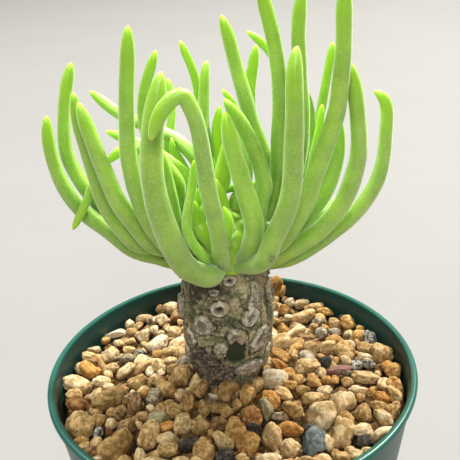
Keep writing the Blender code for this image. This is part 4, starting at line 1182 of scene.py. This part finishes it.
def make_crown(seats, widths):
    """The green growing point over the bark, swollen round each leaf's root, with a flat skirt below."""
    outs, faces = ball(CROWN_DETAIL)
    radius = np.full(len(outs), CROWN_RADIUS - CROWN_SINK)
    for seat, width in zip(seats, widths):
        away = np.linalg.norm(outs - seat, axis=1) * CROWN_RADIUS / (width * SWELLING_REACH)
        swelling = SWELLING_RISE - SWELLING_DROP * smooth_step(away, *SWELLING_FADES)
        radius = np.maximum(radius, CROWN_RADIUS + swelling)
    above, below = np.maximum(outs[:, 2], 0), np.maximum(-outs[:, 2], 0)
    sideways = np.minimum(1, (SKIRT_RADIUS + above * SKIRT_WIDENING) / radius)
    sideways *= (1 - below**4) / np.maximum(0.2, np.sqrt(1 - below**2))
    rises = above * radius - below**SKIRT_CURVE * SKIRT_DEPTH
    columns = (outs[:, 0] * radius * sideways, outs[:, 1] * radius * sideways, CROWN.z + rises)
    # Bare between the roots at the back, where the skin is darkened as painted shade.
    bare = np.where(radius < CROWN_RADIUS + BARE_SHADE_UP_TO, 1.0, BARE_SHADE_ON_SWELLING)
    bare = bare * smooth_step(columns[1], *BARE_SHADE_FROM_FRONT)
    mesh = mesh_of("crown_growth", np.stack(columns, axis=1), faces.tolist(), {"bare": bare})
    new_object("crown_growth", mesh, crown_finish(), ["stem"])


# Leaves: their courses, seats and paths as in the solids.

def seen_point(right, up, toward):
    """The point this far right of and above the middle of the view, and in front of the stem's axis."""
    rightward, upward, forward = view_axes()
    ray = forward * MEASURED_AT + rightward * right + upward * up
    return EYE + ray * (-toward - EYE[1]) / ray[1]


def seat_direction(bearing, pitch):
    """The direction of a bearing and pitch in degrees."""
    turn, rise = math.radians(bearing), math.radians(pitch)
    return np.array((math.cos(rise) * math.cos(turn), math.cos(rise) * math.sin(turn), math.sin(rise)))


def leaf_courses():
    """Each leaf's name, its seat's direction from the crown's middle, its width and its course's points."""
    courses = []
    for name, bearing, pitch, width, seen, toward in LEAVES:
        spread = np.linspace(0, len(toward) - 1, len(seen))
        depths = np.interp(spread, range(len(toward)), toward)
        points = [seen_point(right * MM, up * MM, depth * MM) for (right, up), depth in zip(seen, depths)]
        courses.append((name, seat_direction(bearing, pitch), width * MM, points))
    return courses


def eased_seats(wanted, widths):
    """Directions of the seats on the crown, as near the wanted ones as leaves of these widths can stand."""
    seats = np.array(wanted)
    roots = widths * ROOT_SHARE / 2
    needed = (roots[:, None] + roots[None, :] + SEAT_AIR) / (CROWN_RADIUS + SEAT_LIFT)
    np.fill_diagonal(needed, 0)
    for _ in range(SEAT_ROUNDS):
        apart = seats[:, None] - seats[None, :]
        between = np.linalg.norm(apart, axis=2) + 1e-9
        short = np.maximum(0, needed - between)
        seats = seats + SEAT_STEP * (apart / between[:, :, None] * short[:, :, None]).sum(axis=1)
        seats[:, 2] = np.maximum(seats[:, 2], math.sin(LOWEST_SEAT))
        seats = unit(seats)
    return seats


def smooth_path(knots, count):
    """Evenly spaced points on a smooth curve through the knots."""
    knots = np.array(knots)
    at = walked_along(knots)
    slope = np.gradient(knots, at, axis=0)
    fine = np.linspace(0, at[-1], 8 * count)
    start = np.clip(np.searchsorted(at, fine, side="right") - 1, 0, len(knots) - 2)
    span = np.diff(at)[start][:, None]
    part = (fine - at[start])[:, None] / span
    curve = (1 + 2 * part) * (1 - part) ** 2 * knots[start] + part * (1 - part) ** 2 * span * slope[start]
    curve += part**2 * (3 - 2 * part) * knots[start + 1] - part**2 * (1 - part) * span * slope[start + 1]
    return resampled(curve, np.linspace(0, 1, count))


def resampled(path, shares):
    """Points of a path at these shares of its length."""
    walked = walked_along(path)
    return np.stack([np.interp(shares * walked[-1], walked, path[:, axis]) for axis in range(3)], axis=1)


def solid_thickness(shares):
    """A solid leaf's width along its length as a share of its widest, which its path was eased with."""
    swell = smooth_step(shares, 0, SWELLING_SHARE)
    tip = (1 - shares**TIP_POWER) ** TIP_ROUNDING
    return (ROOT_SHARE + (1 - ROOT_SHARE) * swell) * (1 - LEAF_TAPER * shares) * tip


def blurred(moves):
    """The leaves' moves evened out along each leaf."""
    for _ in range(EASING_BLUR):
        padded = np.concatenate((moves[:, :1], moves, moves[:, -1:]), axis=1)
        moves = (padded[:, :-2] + 2 * padded[:, 1:-1] + padded[:, 2:]) / 4
    return moves


def near_pairs(points, need):
    """Pairs of points on different leaves that could come to touch."""
    squares = (points**2).sum(axis=1)
    between = np.sqrt(np.maximum(0, squares[:, None] + squares[None, :] - 2 * points @ points.T))
    return np.nonzero((between < need + NEIGHBOUR_REACH) & (need > 0))


def eased_apart(paths, radii):
    """Leaves that cross are moved apart, most of it along the line of sight, so that their outline stays."""
    leaves, samples, _ = paths.shape
    owner = np.repeat(np.arange(leaves), samples)
    reach = radii.reshape(-1)
    need = reach[:, None] + reach[None, :] + LEAF_AIR
    need[owner[:, None] >= owner[None, :]] = 0
    free = np.clip((walked_along(paths) - FIXED_ROOT) / FREE_BY, 0, 1)[:, :, None]
    near_first, near_second = near_pairs(paths.reshape(-1, 3), need)
    near_need = need[near_first, near_second]
    for _ in range(EASING_ROUNDS):
        points = paths.reshape(-1, 3)
        between = np.linalg.norm(points[near_first] - points[near_second], axis=1)
        close = between < near_need
        if not close.any():
            break
        first, second = near_first[close], near_second[close]
        apart = points[first] - points[second]
        sight = unit(points[first] - EYE)
        deep = (apart * sight).sum(axis=1, keepdims=True) * sight
        push = unit(deep + SIDEWAYS * (apart - deep))
        push *= 0.5 * (near_need[close] - between[close])[:, None]
        moves = np.zeros_like(points)
        np.add.at(moves, first, push)
        np.add.at(moves, second, -push)
        shared = np.bincount(np.concatenate((first, second)), minlength=len(points))
        moves /= np.maximum(1, shared)[:, None]
        paths = paths + blurred(moves.reshape(paths.shape) * free) * free
    return paths


def leaf_paths():
    """Each leaf's name, width, seat and path, from its seat on the crown, with no two leaves crossing."""
    courses = leaf_courses()
    widths = np.array([course[2] for course in courses])
    seats = eased_seats([course[1] for course in courses], widths)
    straight = CROWN_RADIUS + STRAIGHT_ROOT
    paths = []
    for out, (_, _, _, points) in zip(seats, courses):
        seat = np.array(CROWN) + out * (CROWN_RADIUS + SEAT_LIFT)
        clear = [point for point in points if np.linalg.norm(point - CROWN) > straight + FIXED_ROOT]
        paths.append(smooth_path([seat, np.array(CROWN) + out * straight, *clear], SAMPLES))
    shares = np.linspace(0, 1, SAMPLES)
    paths = eased_apart(np.array(paths), widths[:, None] / 2 * solid_thickness(shares)[None, :])
    names = [course[0] for course in courses]
    return list(zip(names, widths, seats, paths))


def leaf_finish():
    """Yellow-green flesh: bloom and fine pale specks on the body, yellower heart and tips, rosy points,
    painted shade and glow.
    """
    finish = Finish("leaf_flesh", {
        "Subsurface Weight": 0.85,
        "Subsurface Radius": (0.8, 1.0, 0.25),
        "Subsurface Scale": 4.5 * MM,
        "Sheen Weight": 0.5,
        "Sheen Roughness": 0.45,
        "Sheen Tint": (0.95, 1.0, 0.85, 1),
        "Specular IOR Level": 0.8,
        "Emission Strength": 1.0,
    })
    along, tone, young, bruise, crowd = finish.painted("along", "tone", "young", "bruise", "crowd")
    cloud = finish.grain(7 * MM, 2, 0.5)
    bloom = finish.grain(4 * MM, 4, 0.6).step(0.42, 0.68)
    speck = finish.grain(0.5 * MM, 2, 0.6).step(0.5, 0.66)
    torn = bruise * finish.grain(0.9 * MM, 4, 0.7).step(0.38, 0.5)
    colour = finish.coats(
        finish.mix(cloud.step(0.35, 0.65), "leaf_deep", "leaf_green"),
        (tone * 0.4, "leaf_darker"),
        (bloom * 0.3, "leaf_bloom"),
        (speck * 0.28, "leaf_speck"),
        (young * 0.8, "leaf_bright"),
        (along.step(0.16, 0.0) * 0.85, "leaf_root"),
        (along.step(0.72, 0.97) * 0.75, "leaf_bright"),
        (along.step(0.965, 0.995) * 0.6, "leaf_tip"),
        (along.step(0.993, 1.0) * tone, "leaf_point"),
        (torn, "leaf_bruise"),
    )
    # Painted shade where other leaves crowd close, less on young ones.
    colour = finish.shade(crowd * (1 - young * 0.6), colour, "leaf_crowd_shade")
    roughness = 0.34 + finish.grain(2.5 * MM, 3) * 0.12
    height = finish.grain(0.5 * MM, 3, 0.6) + finish.grain(2.2 * MM, 2) * 0.8
    normal = finish.bump(height, 0.12 * MM, 0.6)
    # A painted glow on young leaves, through the emission colour.
    glow = finish.mix(young * 0.3, "no_glow", "leaf_glow")
    return finish.wear(colour=colour, roughness=roughness, normal=normal, glow=glow)


def leaf_thickness(walked, length, half, neck):
    """A leaf's half width along its walk: flared or narrow at its root, and blunt at its tip."""
    share = walked / length
    if neck:
        swell = neck + (1 - neck) * smooth_step(walked, -SUNK_ROOT, NECK_LENGTH)
        flare = 0
    else:
        swell = NECK_SHARE + (1 - NECK_SHARE) * smooth_step(share, 0, FULL_GIRTH_BY)
        flare = ROOT_FLARE * np.exp(-((walked / FLARE_LENGTH) ** 2))
    taper = 1.02 - 0.22 * smooth_step(share, *TAPERS)
    nearness = np.clip(1 - (length - walked) / (TIP_LENGTH * half), 0, 1)
    return half * (swell + flare) * taper * np.maximum(0, 1 - nearness**2) ** TIP_BLUNTNESS


def rerooted(name, path):
    """The path with its first part led to where the eye sees the leaf's root, if that is known."""
    if name not in ROOTS:
        return path
    right, up, toward, _, led = ROOTS[name]
    kept = path[walked_along(path) > led * MM]
    return smooth_path([seen_point(right * MM, up * MM, toward * MM), *kept[:-2:3], kept[-1]], SAMPLES)


def crowding(points, outs, others):
    """How closely other leaves crowd each point on the side that it faces, from 0 to 1."""
    apart = others - points[:, None]
    away = np.linalg.norm(apart, axis=2)
    facing = np.maximum((apart * outs[:, None]).sum(axis=2) / away, 0)
    return np.tanh(CROWDING * (facing * np.maximum(1 - away / CROWD_REACH, 0)).sum(axis=1))


def ring_shares(length, width):
    """Where a leaf's rings lie, as shares of its length: evenly over its body, closer round its tip."""
    body = np.linspace(0, 1 - TIP_LENGTH * width / 2 / length, int(length / RING_SPACING))
    ends = 1 - (1 - body[-1]) * (1 - np.sin(np.linspace(0, math.pi / 2, TIP_RINGS)[1:]))
    return np.concatenate((body, ends[:-1], [LAST_RING]))


def seen_moves(moves, shares):
    """How far a leaf's trim moves it, right and up as the eye sees it, at shares of its length."""
    known, rights, ups = np.transpose(moves)
    rightward, upward, _ = view_axes()
    right = np.outer(np.interp(shares, known, rights), rightward)
    return (right + np.outer(np.interp(shares, known, ups), upward)) * MM


def leaf_tube(middles, tangents, halves, shares):
    """A leaf's points ring by ring, channelled on its inner side, and the directions that they face."""
    angles = 2 * math.pi * np.arange(LEAF_SIDES) / LEAF_SIDES
    inside = np.sin(angles) > 0
    channel = CHANNEL_DEPTH * np.exp(-((np.cos(angles) / CHANNEL_WIDTH) ** 2))
    inner = np.array((-tangents[0][0], -tangents[0][1], 1.0))
    points, outs = [], []
    for middle, tangent, half, share in zip(middles, tangents, halves, shares):
        inner = unit(inner - tangent * (inner @ tangent))
        across = np.cross(tangent, inner)
        hollow = channel * band(share, *CHANNEL_ZONE)
        flat = np.where(inside, INNER_FLATNESS * (1 - hollow), OUTER_FLATNESS)
        ring = np.outer(np.cos(angles), across) + np.outer(np.sin(angles) * flat, inner)
        points.append(middle + half * ring)
        outs.append(unit(ring))
    return np.concatenate(points), np.concatenate(outs)


def bruise_at(points):
    """1 on the dry spot that the eye sees, and 0 past its edge."""
    sight = unit(seen_point(*BRUISE, 0) - EYE)
    away = points - EYE
    beside = np.linalg.norm(away - (away @ sight)[:, None] * sight, axis=1)
    return smooth_step(beside, *BRUISE_FADES)


def youth(name, width, draw):
    """How young a leaf looks, from 0 to 1."""
    if name.startswith("heart"):
        return 1.0
    return 0.45 if width < YOUNG_WIDTH else 0.1 * draw.random()


def make_leaf(name, width, others, path, number, finish):
    """One finger leaf as a lofted tube of close rings, with its root sunk in the crown."""
    path = rerooted(name, path)
    length = walked_along(path)[-1]
    shares = ring_shares(length, width)
    plumper, moves = TRIMS.get(name, (1.0, UNMOVED))
    middles = resampled(path, shares) + seen_moves(moves, shares)
    sways = np.stack([noise_at(middles, SWAY_SIZE, number + seed) for seed in SWAY_SEEDS], axis=1)
    middles = middles + SWAY * width * sways * smooth_step(shares, *SWAY_FROM)[:, None]
    back = unit(middles[0] - middles[2]) * SUNK_ROOT
    middles = np.concatenate(([middles[0] + back, middles[0] + back / 2], middles))
    shares = np.concatenate(((0, 0), shares))
    neck = ROOTS[name][3] if name in ROOTS else 0
    halves = leaf_thickness(shares * length, length, width / 2 * PLUMPNESS * plumper, neck)
    halves = halves * (1 + UNEVENNESS * noise_at(middles, UNEVENNESS_SIZE, number + UNEVENNESS_SEED))
    points, outs = leaf_tube(middles, unit(np.gradient(middles, axis=0)), halves, shares)
    draw = random.Random(number)
    # The crowd value sets painted shade, and the young value a yellower colour and a painted glow.
    values = {
        "crowd": crowding(points, outs, others),
        "bruise": bruise_at(points) * (name == BRUISED_LEAF),
        "along": np.repeat(shares, LEAF_SIDES),
        "tone": np.full(len(points), draw.uniform(0, 1)),
        "young": np.full(len(points), youth(name, width, draw)),
    }
    mesh = mesh_of("leaf", points, ring_faces(len(middles), LEAF_SIDES), values)
    new_object("flesh_" + name, mesh, finish, ["leaf_" + name])


# Gravel.

def heap_height(reach):
    """The height of the middle of the top stones at a distance from the stem's axis."""
    return READ_PLANE + HEAP_RISE * smooth_step(reach, HEAP_FROM, HEAP_TO)


def wall_reach(height):
    """The pot's inner radius at a height."""
    return pot_outer(height) - POT_WALL - WALL_AIR


def placed_on_heap(x, y, half):
    """Where the ray through (x, y) on the read plane meets the heap, clear of the stem and the pot's wall."""
    where = np.array((x, y, READ_PLANE))
    ray = unit(EYE - where)
    for _ in range(LIFTS):
        reach = math.hypot(where[0], where[1])
        low = where[2] < heap_height(reach)
        stem = stem_radius((where[2] - POT_HEIGHT) / MM) * MM
        if not low and not (reach < stem + half * STEM_OVERLAP and y < FRONT_OF_STEM):
            break
        where = where + ray * LIFT
    reach = math.hypot(where[0], where[1])
    limit = wall_reach(where[2]) - half * WALL_OVERLAP
    if reach > limit:
        where[:2] *= limit / reach
    return where


def stone_points(outs, halves, axes, where, draw, seed):
    """A worn stone's points and how hollow it is at each: a ball cut by random flats, dented and pitted."""
    flats = unit(draw.normal(size=(STONE_CORNERS, 3)))
    depths = draw.uniform(*FLAT_DEPTHS, STONE_CORNERS)
    facing = np.maximum(outs @ flats.T / depths, LEAST_FACING)
    radius = np.minimum((facing**CORNER_POWER).sum(axis=1) ** (-1 / CORNER_POWER), CORNER_REACH)
    dents = [noise_at(outs, size, seed + step) for size, step in (LUMPS, KNOBS, GRIT, HOLES)]
    lumps, knobs, grit, holes = dents
    holes = smooth_step(holes, 0.26, 0.5)
    radius = radius * (1 + 0.13 * lumps + 0.09 * knobs + 0.04 * grit - 0.1 * holes)
    points = outs * radius[:, None]
    points = points / (np.abs(points).max(axis=0) * FILLS_BOX)
    # How hollow each point is, which sets painted shade in hollows and painted highlights on knobs.
    hollow = np.clip(0.35 - 0.9 * knobs - 0.7 * grit - 0.4 * lumps + 0.5 * holes, 0, 1)
    return where + (points * halves) @ axes, hollow


def random_axes(draw):
    """Three axes of a stone that lies at random, its third nearly upright."""
    third = unit(np.array((0.0, 0.0, 1.0)) + FILL_TILT * draw.normal(size=3))
    first = unit(np.cross(third, draw.normal(size=3)))
    return np.stack((first, np.cross(third, first), third))


def seen_stones(draw):
    """Middle, half sizes, axes and colour of each stone that was read from the view."""
    rightward, upward, forward = view_axes()
    found = []
    for x, y, length, width, turn, tone in SEEN_STONES:
        mean = math.sqrt(length * width)
        where = placed_on_heap(x * MM, y * MM, mean / 2 * MM)
        cos, sin = math.cos(math.radians(turn)), math.sin(math.radians(turn))
        axes = np.stack((rightward * cos + upward * sin, upward * cos - rightward * sin, forward))
        halves = np.array((length, width, mean * draw.uniform(*SEEN_DEPTHS))) / 2 * MM
        found.append((where, halves, axes, tone))
    axes = np.stack((rightward, upward, forward))
    for x, y, z, wide, tall, deep, tone in STANDING_STONES:
        found.append((np.array((x, y, z)) * MM, np.array((wide, tall, deep)) / 2 * MM, axes, tone))
    return found


def filler_stones(found, draw):
    """Smaller stones between and under those seen, and larger ones where the view doesn't reach."""
    names = list(COMMON_TONES)
    weights = np.array(list(COMMON_TONES.values()), float)
    weights /= weights.sum()
    balls = [(where, float(np.cbrt(np.prod(halves)))) for where, halves, _, _ in found]
    for where, halves, axes, _ in found:
        if halves[0] > LONG_STONE * halves[1]:
            slim = (halves[1] + halves[2]) / 2
            balls.append((where + axes[0] * (halves[0] - slim), slim))
            balls.append((where - axes[0] * (halves[0] - slim), slim))
    middles = np.array([middle for middle, _ in balls])
    radii = np.array([radius for _, radius in balls])
    fillers = []
    for nominal, tries, depth, spill in FILLERS:
        for _ in range(tries):
            radius = nominal * draw.uniform(*FILL_SIZES) * MM
            reach = math.sqrt(draw.uniform(FILL_FROM, 1)) * FILL_REACH
            angle = draw.uniform(0, 2 * math.pi)
            height = heap_height(reach) + draw.uniform(-depth, spill) * MM
            stem = stem_radius((height - POT_HEIGHT) / MM) * MM
            in_wall = reach + radius * FILL_WALL_OVERLAP > wall_reach(height)
            if in_wall or reach - radius * FILL_STEM_OVERLAP < stem:
                continue
            middle = np.array((reach * math.cos(angle), reach * math.sin(angle), height))
            gaps = np.linalg.norm(middles - middle, axis=1)
            if (gaps < (radii + radius) * FILL_CLOSENESS).any():
                continue
            middles = np.concatenate((middles, [middle]))
            radii = np.append(radii, radius)
            shape = np.array([draw.uniform(*limits) for limits in FILL_SHAPES])
            shape = shape / np.cbrt(np.prod(shape))
            tone = names[draw.choice(len(names), p=weights)]
            fillers.append((middle, shape * radius, random_axes(draw), tone))
    return fillers


def stone_finish(tone):
    """Porous stone, mottled paler, with fine grain and dark pores; painted shade in hollows and gaps, painted
    highlights on knobs.
    """
    base, dark, pale = TONES[tone]
    finish = Finish("stone_" + tone, {"IOR": 1.45, "Specular IOR Level": 0.3})
    cloud = finish.grain(2.8 * MM, 3, 0.6, 0.3)
    mottle = finish.grain(0.9 * MM, 4, 0.68, 0.3)
    speck = finish.grain(0.28 * MM, 3, 0.7)
    shift, hollow, sunk = finish.painted("shift", "hollow", "sunk")
    grains = speck.step(0.56, 0.74) * 0.4
    if tone == "pepper":
        grains = speck.step(0.5, 0.62)
    colour = finish.coats(
        finish.mix(cloud.step(0.38, 0.64) * 0.8, base, dark),
        (mottle.step(0.44, 0.66) * 0.7, pale),
        (grains, pale),
    )
    if tone in RUSTY:
        stain = finish.grain(1.9 * MM, 3, 0.6).step(0.52, 0.68)
        colour = finish.mix(stain * 0.55, colour, "rust_stain")
    pores = finish.cells(0.95 * MM).step(0.24, 0.1) * mottle.step(0.56, 0.44)
    colour = finish.coats(
        colour,
        (pores * 0.85, tuple(channel * 0.4 for channel in dark)),
        # Painted shade in the hollows, and a painted highlight on the knobs.
        (hollow.step(0.35, 0.8) * 0.8, dark),
        (hollow.step(0.25, 0.0) * 0.5, pale),
    )
    colour = finish.shade(shift, colour, "stone_shift")
    # Painted shade below the heap's line, between the stones.
    colour = finish.shade(sunk * 0.85, colour, "stone_sunk_shade")
    height = cloud * 0.5 + mottle * 0.6 + speck * 0.35 - pores * 0.7
    depth, dullness = (0.2 * MM, 0.6) if tone in SMOOTH_TONES else (0.42 * MM, 0.82)
    normal = finish.bump(height, depth, 0.9)
    return finish.wear(colour=colour, roughness=dullness + speck * 0.15, normal=normal)


def make_stones():
    """All stones, joined in one piece for each colour."""
    draw = np.random.default_rng(STONE_SEED)
    found = seen_stones(draw)
    found += filler_stones(found, draw)
    coarse, fine = ball(3), ball(4)
    groups = {}
    for number, (where, halves, axes, tone) in enumerate(found):
        outs, faces = fine if halves[0] > FINE_STONE and number < len(SEEN_STONES) else coarse
        seed = STONE_SEED_STEP * (number % 89) + 1.3
        points, hollow = stone_points(outs, halves, axes, where, draw, seed)
        shift = np.full(len(points), draw.uniform(*SHIFTS))
        # Painted shade for the parts that lie below the heap's line.
        below = heap_height(np.hypot(points[:, 0], points[:, 1])) - points[:, 2]
        sunk = smooth_step(below, *SUNK_SHADE_FROM)
        groups.setdefault(tone, []).append((points, faces, shift, hollow, sunk))
    for tone, stones in groups.items():
        points, faces, *painted = zip(*stones)
        starts = np.cumsum([0, *(len(part) for part in points[:-1])])
        triangles = np.concatenate([part + start for part, start in zip(faces, starts)]).tolist()
        values = dict(zip(("shift", "hollow", "sunk"), map(np.concatenate, painted)))
        mesh = mesh_of("stones_" + tone, np.concatenate(points), triangles, values)
        new_object("stones_" + tone, mesh, stone_finish(tone), ["gravel"])


def make_bed():
    """The gravel under the top stones: a rough fill on the pot's floor, painted dark as shade, with a hole
    for the root.
    """
    bottom, top = FLOOR_RISE + FLOOR_THICKNESS + WALL_AIR, READ_PLANE - BED_DEPTH
    profile = [(BOTTOM_HOLE, bottom), (wall_reach(bottom), bottom)]
    for height in np.linspace(bottom, top, BED_WALL_STEPS)[1:]:
        profile.append((wall_reach(height), height))
    for reach in np.linspace(wall_reach(top), ROOT_HOLE, BED_TOP_STEPS)[1:]:
        profile.append((reach, heap_height(reach) - BED_DEPTH))
    points = turned_points(profile, BED_SIDES)
    lumps = np.abs(noise_at(points, BED_LUMP, BED_LUMP_SEED)) * BED_LUMP_HEIGHT
    inside = np.hypot(points[:, 0], points[:, 1]) < wall_reach(READ_PLANE) - BED_LUMPS_FROM_WALL
    points[:, 2] += np.where(inside & (points[:, 2] > BED_LUMPS_ABOVE), lumps, 0)
    mesh = mesh_of("gravel_bed", points, ring_faces(len(profile), BED_SIDES))
    # The bed wears the dark shadow tone as painted shade.
    new_object("gravel_bed", mesh, stone_finish("shadow"), ["gravel"])


# Studio.

def soft_light(name, place, size, power, colour):
    """A square area light that points at the plant."""
    lamp = bpy.data.lights.new(name, "AREA")
    lamp.size = size
    lamp.energy = power
    lamp.color = colour
    made = linked(name, lamp)
    made.location = place
    made.rotation_euler = (Vector(LIT_PLACE) - Vector(place)).to_track_quat("-Z", "Y").to_euler()


def make_floor():
    """A plain pale floor that is no piece of the part."""
    low, high = -FLOOR_REACH, FLOOR_REACH
    corners = [(low, low, 0), (high, low, 0), (high, high, 0), (low, high, 0)]
    floor = bpy.data.meshes.new("floor")
    floor.from_pydata(corners, [], [(0, 1, 2, 3)])
    finish = Finish("floor_paper", {"Roughness": 0.9})
    tint = finish.mix(finish.grain(120 * MM, 2), "floor_dark", "floor_pale")
    floor.materials.append(finish.wear(colour=tint))
    made = linked("floor", floor)


def make_camera():
    """The camera where the photograph was taken from."""
    rightward, upward, forward = view_axes()
    camera = bpy.data.cameras.new("camera")
    camera.sensor_width = SENSOR_WIDTH
    camera.lens = FOCAL_PIXELS / FRAME_PIXELS * SENSOR_WIDTH
    camera.clip_start = NEAREST_SEEN
    made = linked("camera", camera)
    turn = np.eye(4)
    turn[:3] = np.stack((rightward, upward, -forward, EYE), axis=1)
    made.matrix_world = Matrix(turn.tolist())
    bpy.context.scene.camera = made


def make_studio():
    """A plain pale floor, soft light, and the camera."""
    make_floor()
    world = bpy.data.worlds.new("studio")
    world.use_nodes = True
    sky = world.node_tree.nodes["Background"].inputs
    sky["Color"].default_value = SKY_COLOUR
    sky["Strength"].default_value = SKY_STRENGTH
    bpy.context.scene.world = world
    for light in LIGHTS:
        soft_light(*light)
    view = bpy.context.scene.view_settings
    view.view_transform = "Standard"
    view.look = "None"
    make_camera()


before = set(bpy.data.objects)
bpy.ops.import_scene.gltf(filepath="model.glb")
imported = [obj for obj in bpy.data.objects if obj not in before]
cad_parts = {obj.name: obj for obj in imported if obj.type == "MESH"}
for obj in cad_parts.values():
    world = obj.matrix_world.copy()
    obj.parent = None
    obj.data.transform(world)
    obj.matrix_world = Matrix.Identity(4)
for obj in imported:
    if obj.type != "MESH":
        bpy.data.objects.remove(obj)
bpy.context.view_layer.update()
make_pot()
make_bed()
make_stones()
make_stem()
grown = leaf_paths()
make_crown([seat for _, _, seat, _ in grown], [width for _, width, _, _ in grown])
flesh = leaf_finish()
for leaf_number, (leaf_name, leaf_width, _, leaf_path) in enumerate(grown):
    neighbours = np.concatenate([path[::2] for name, _, _, path in grown if name != leaf_name])
    make_leaf(leaf_name, leaf_width, neighbours, leaf_path, leaf_number, flesh)
make_studio()
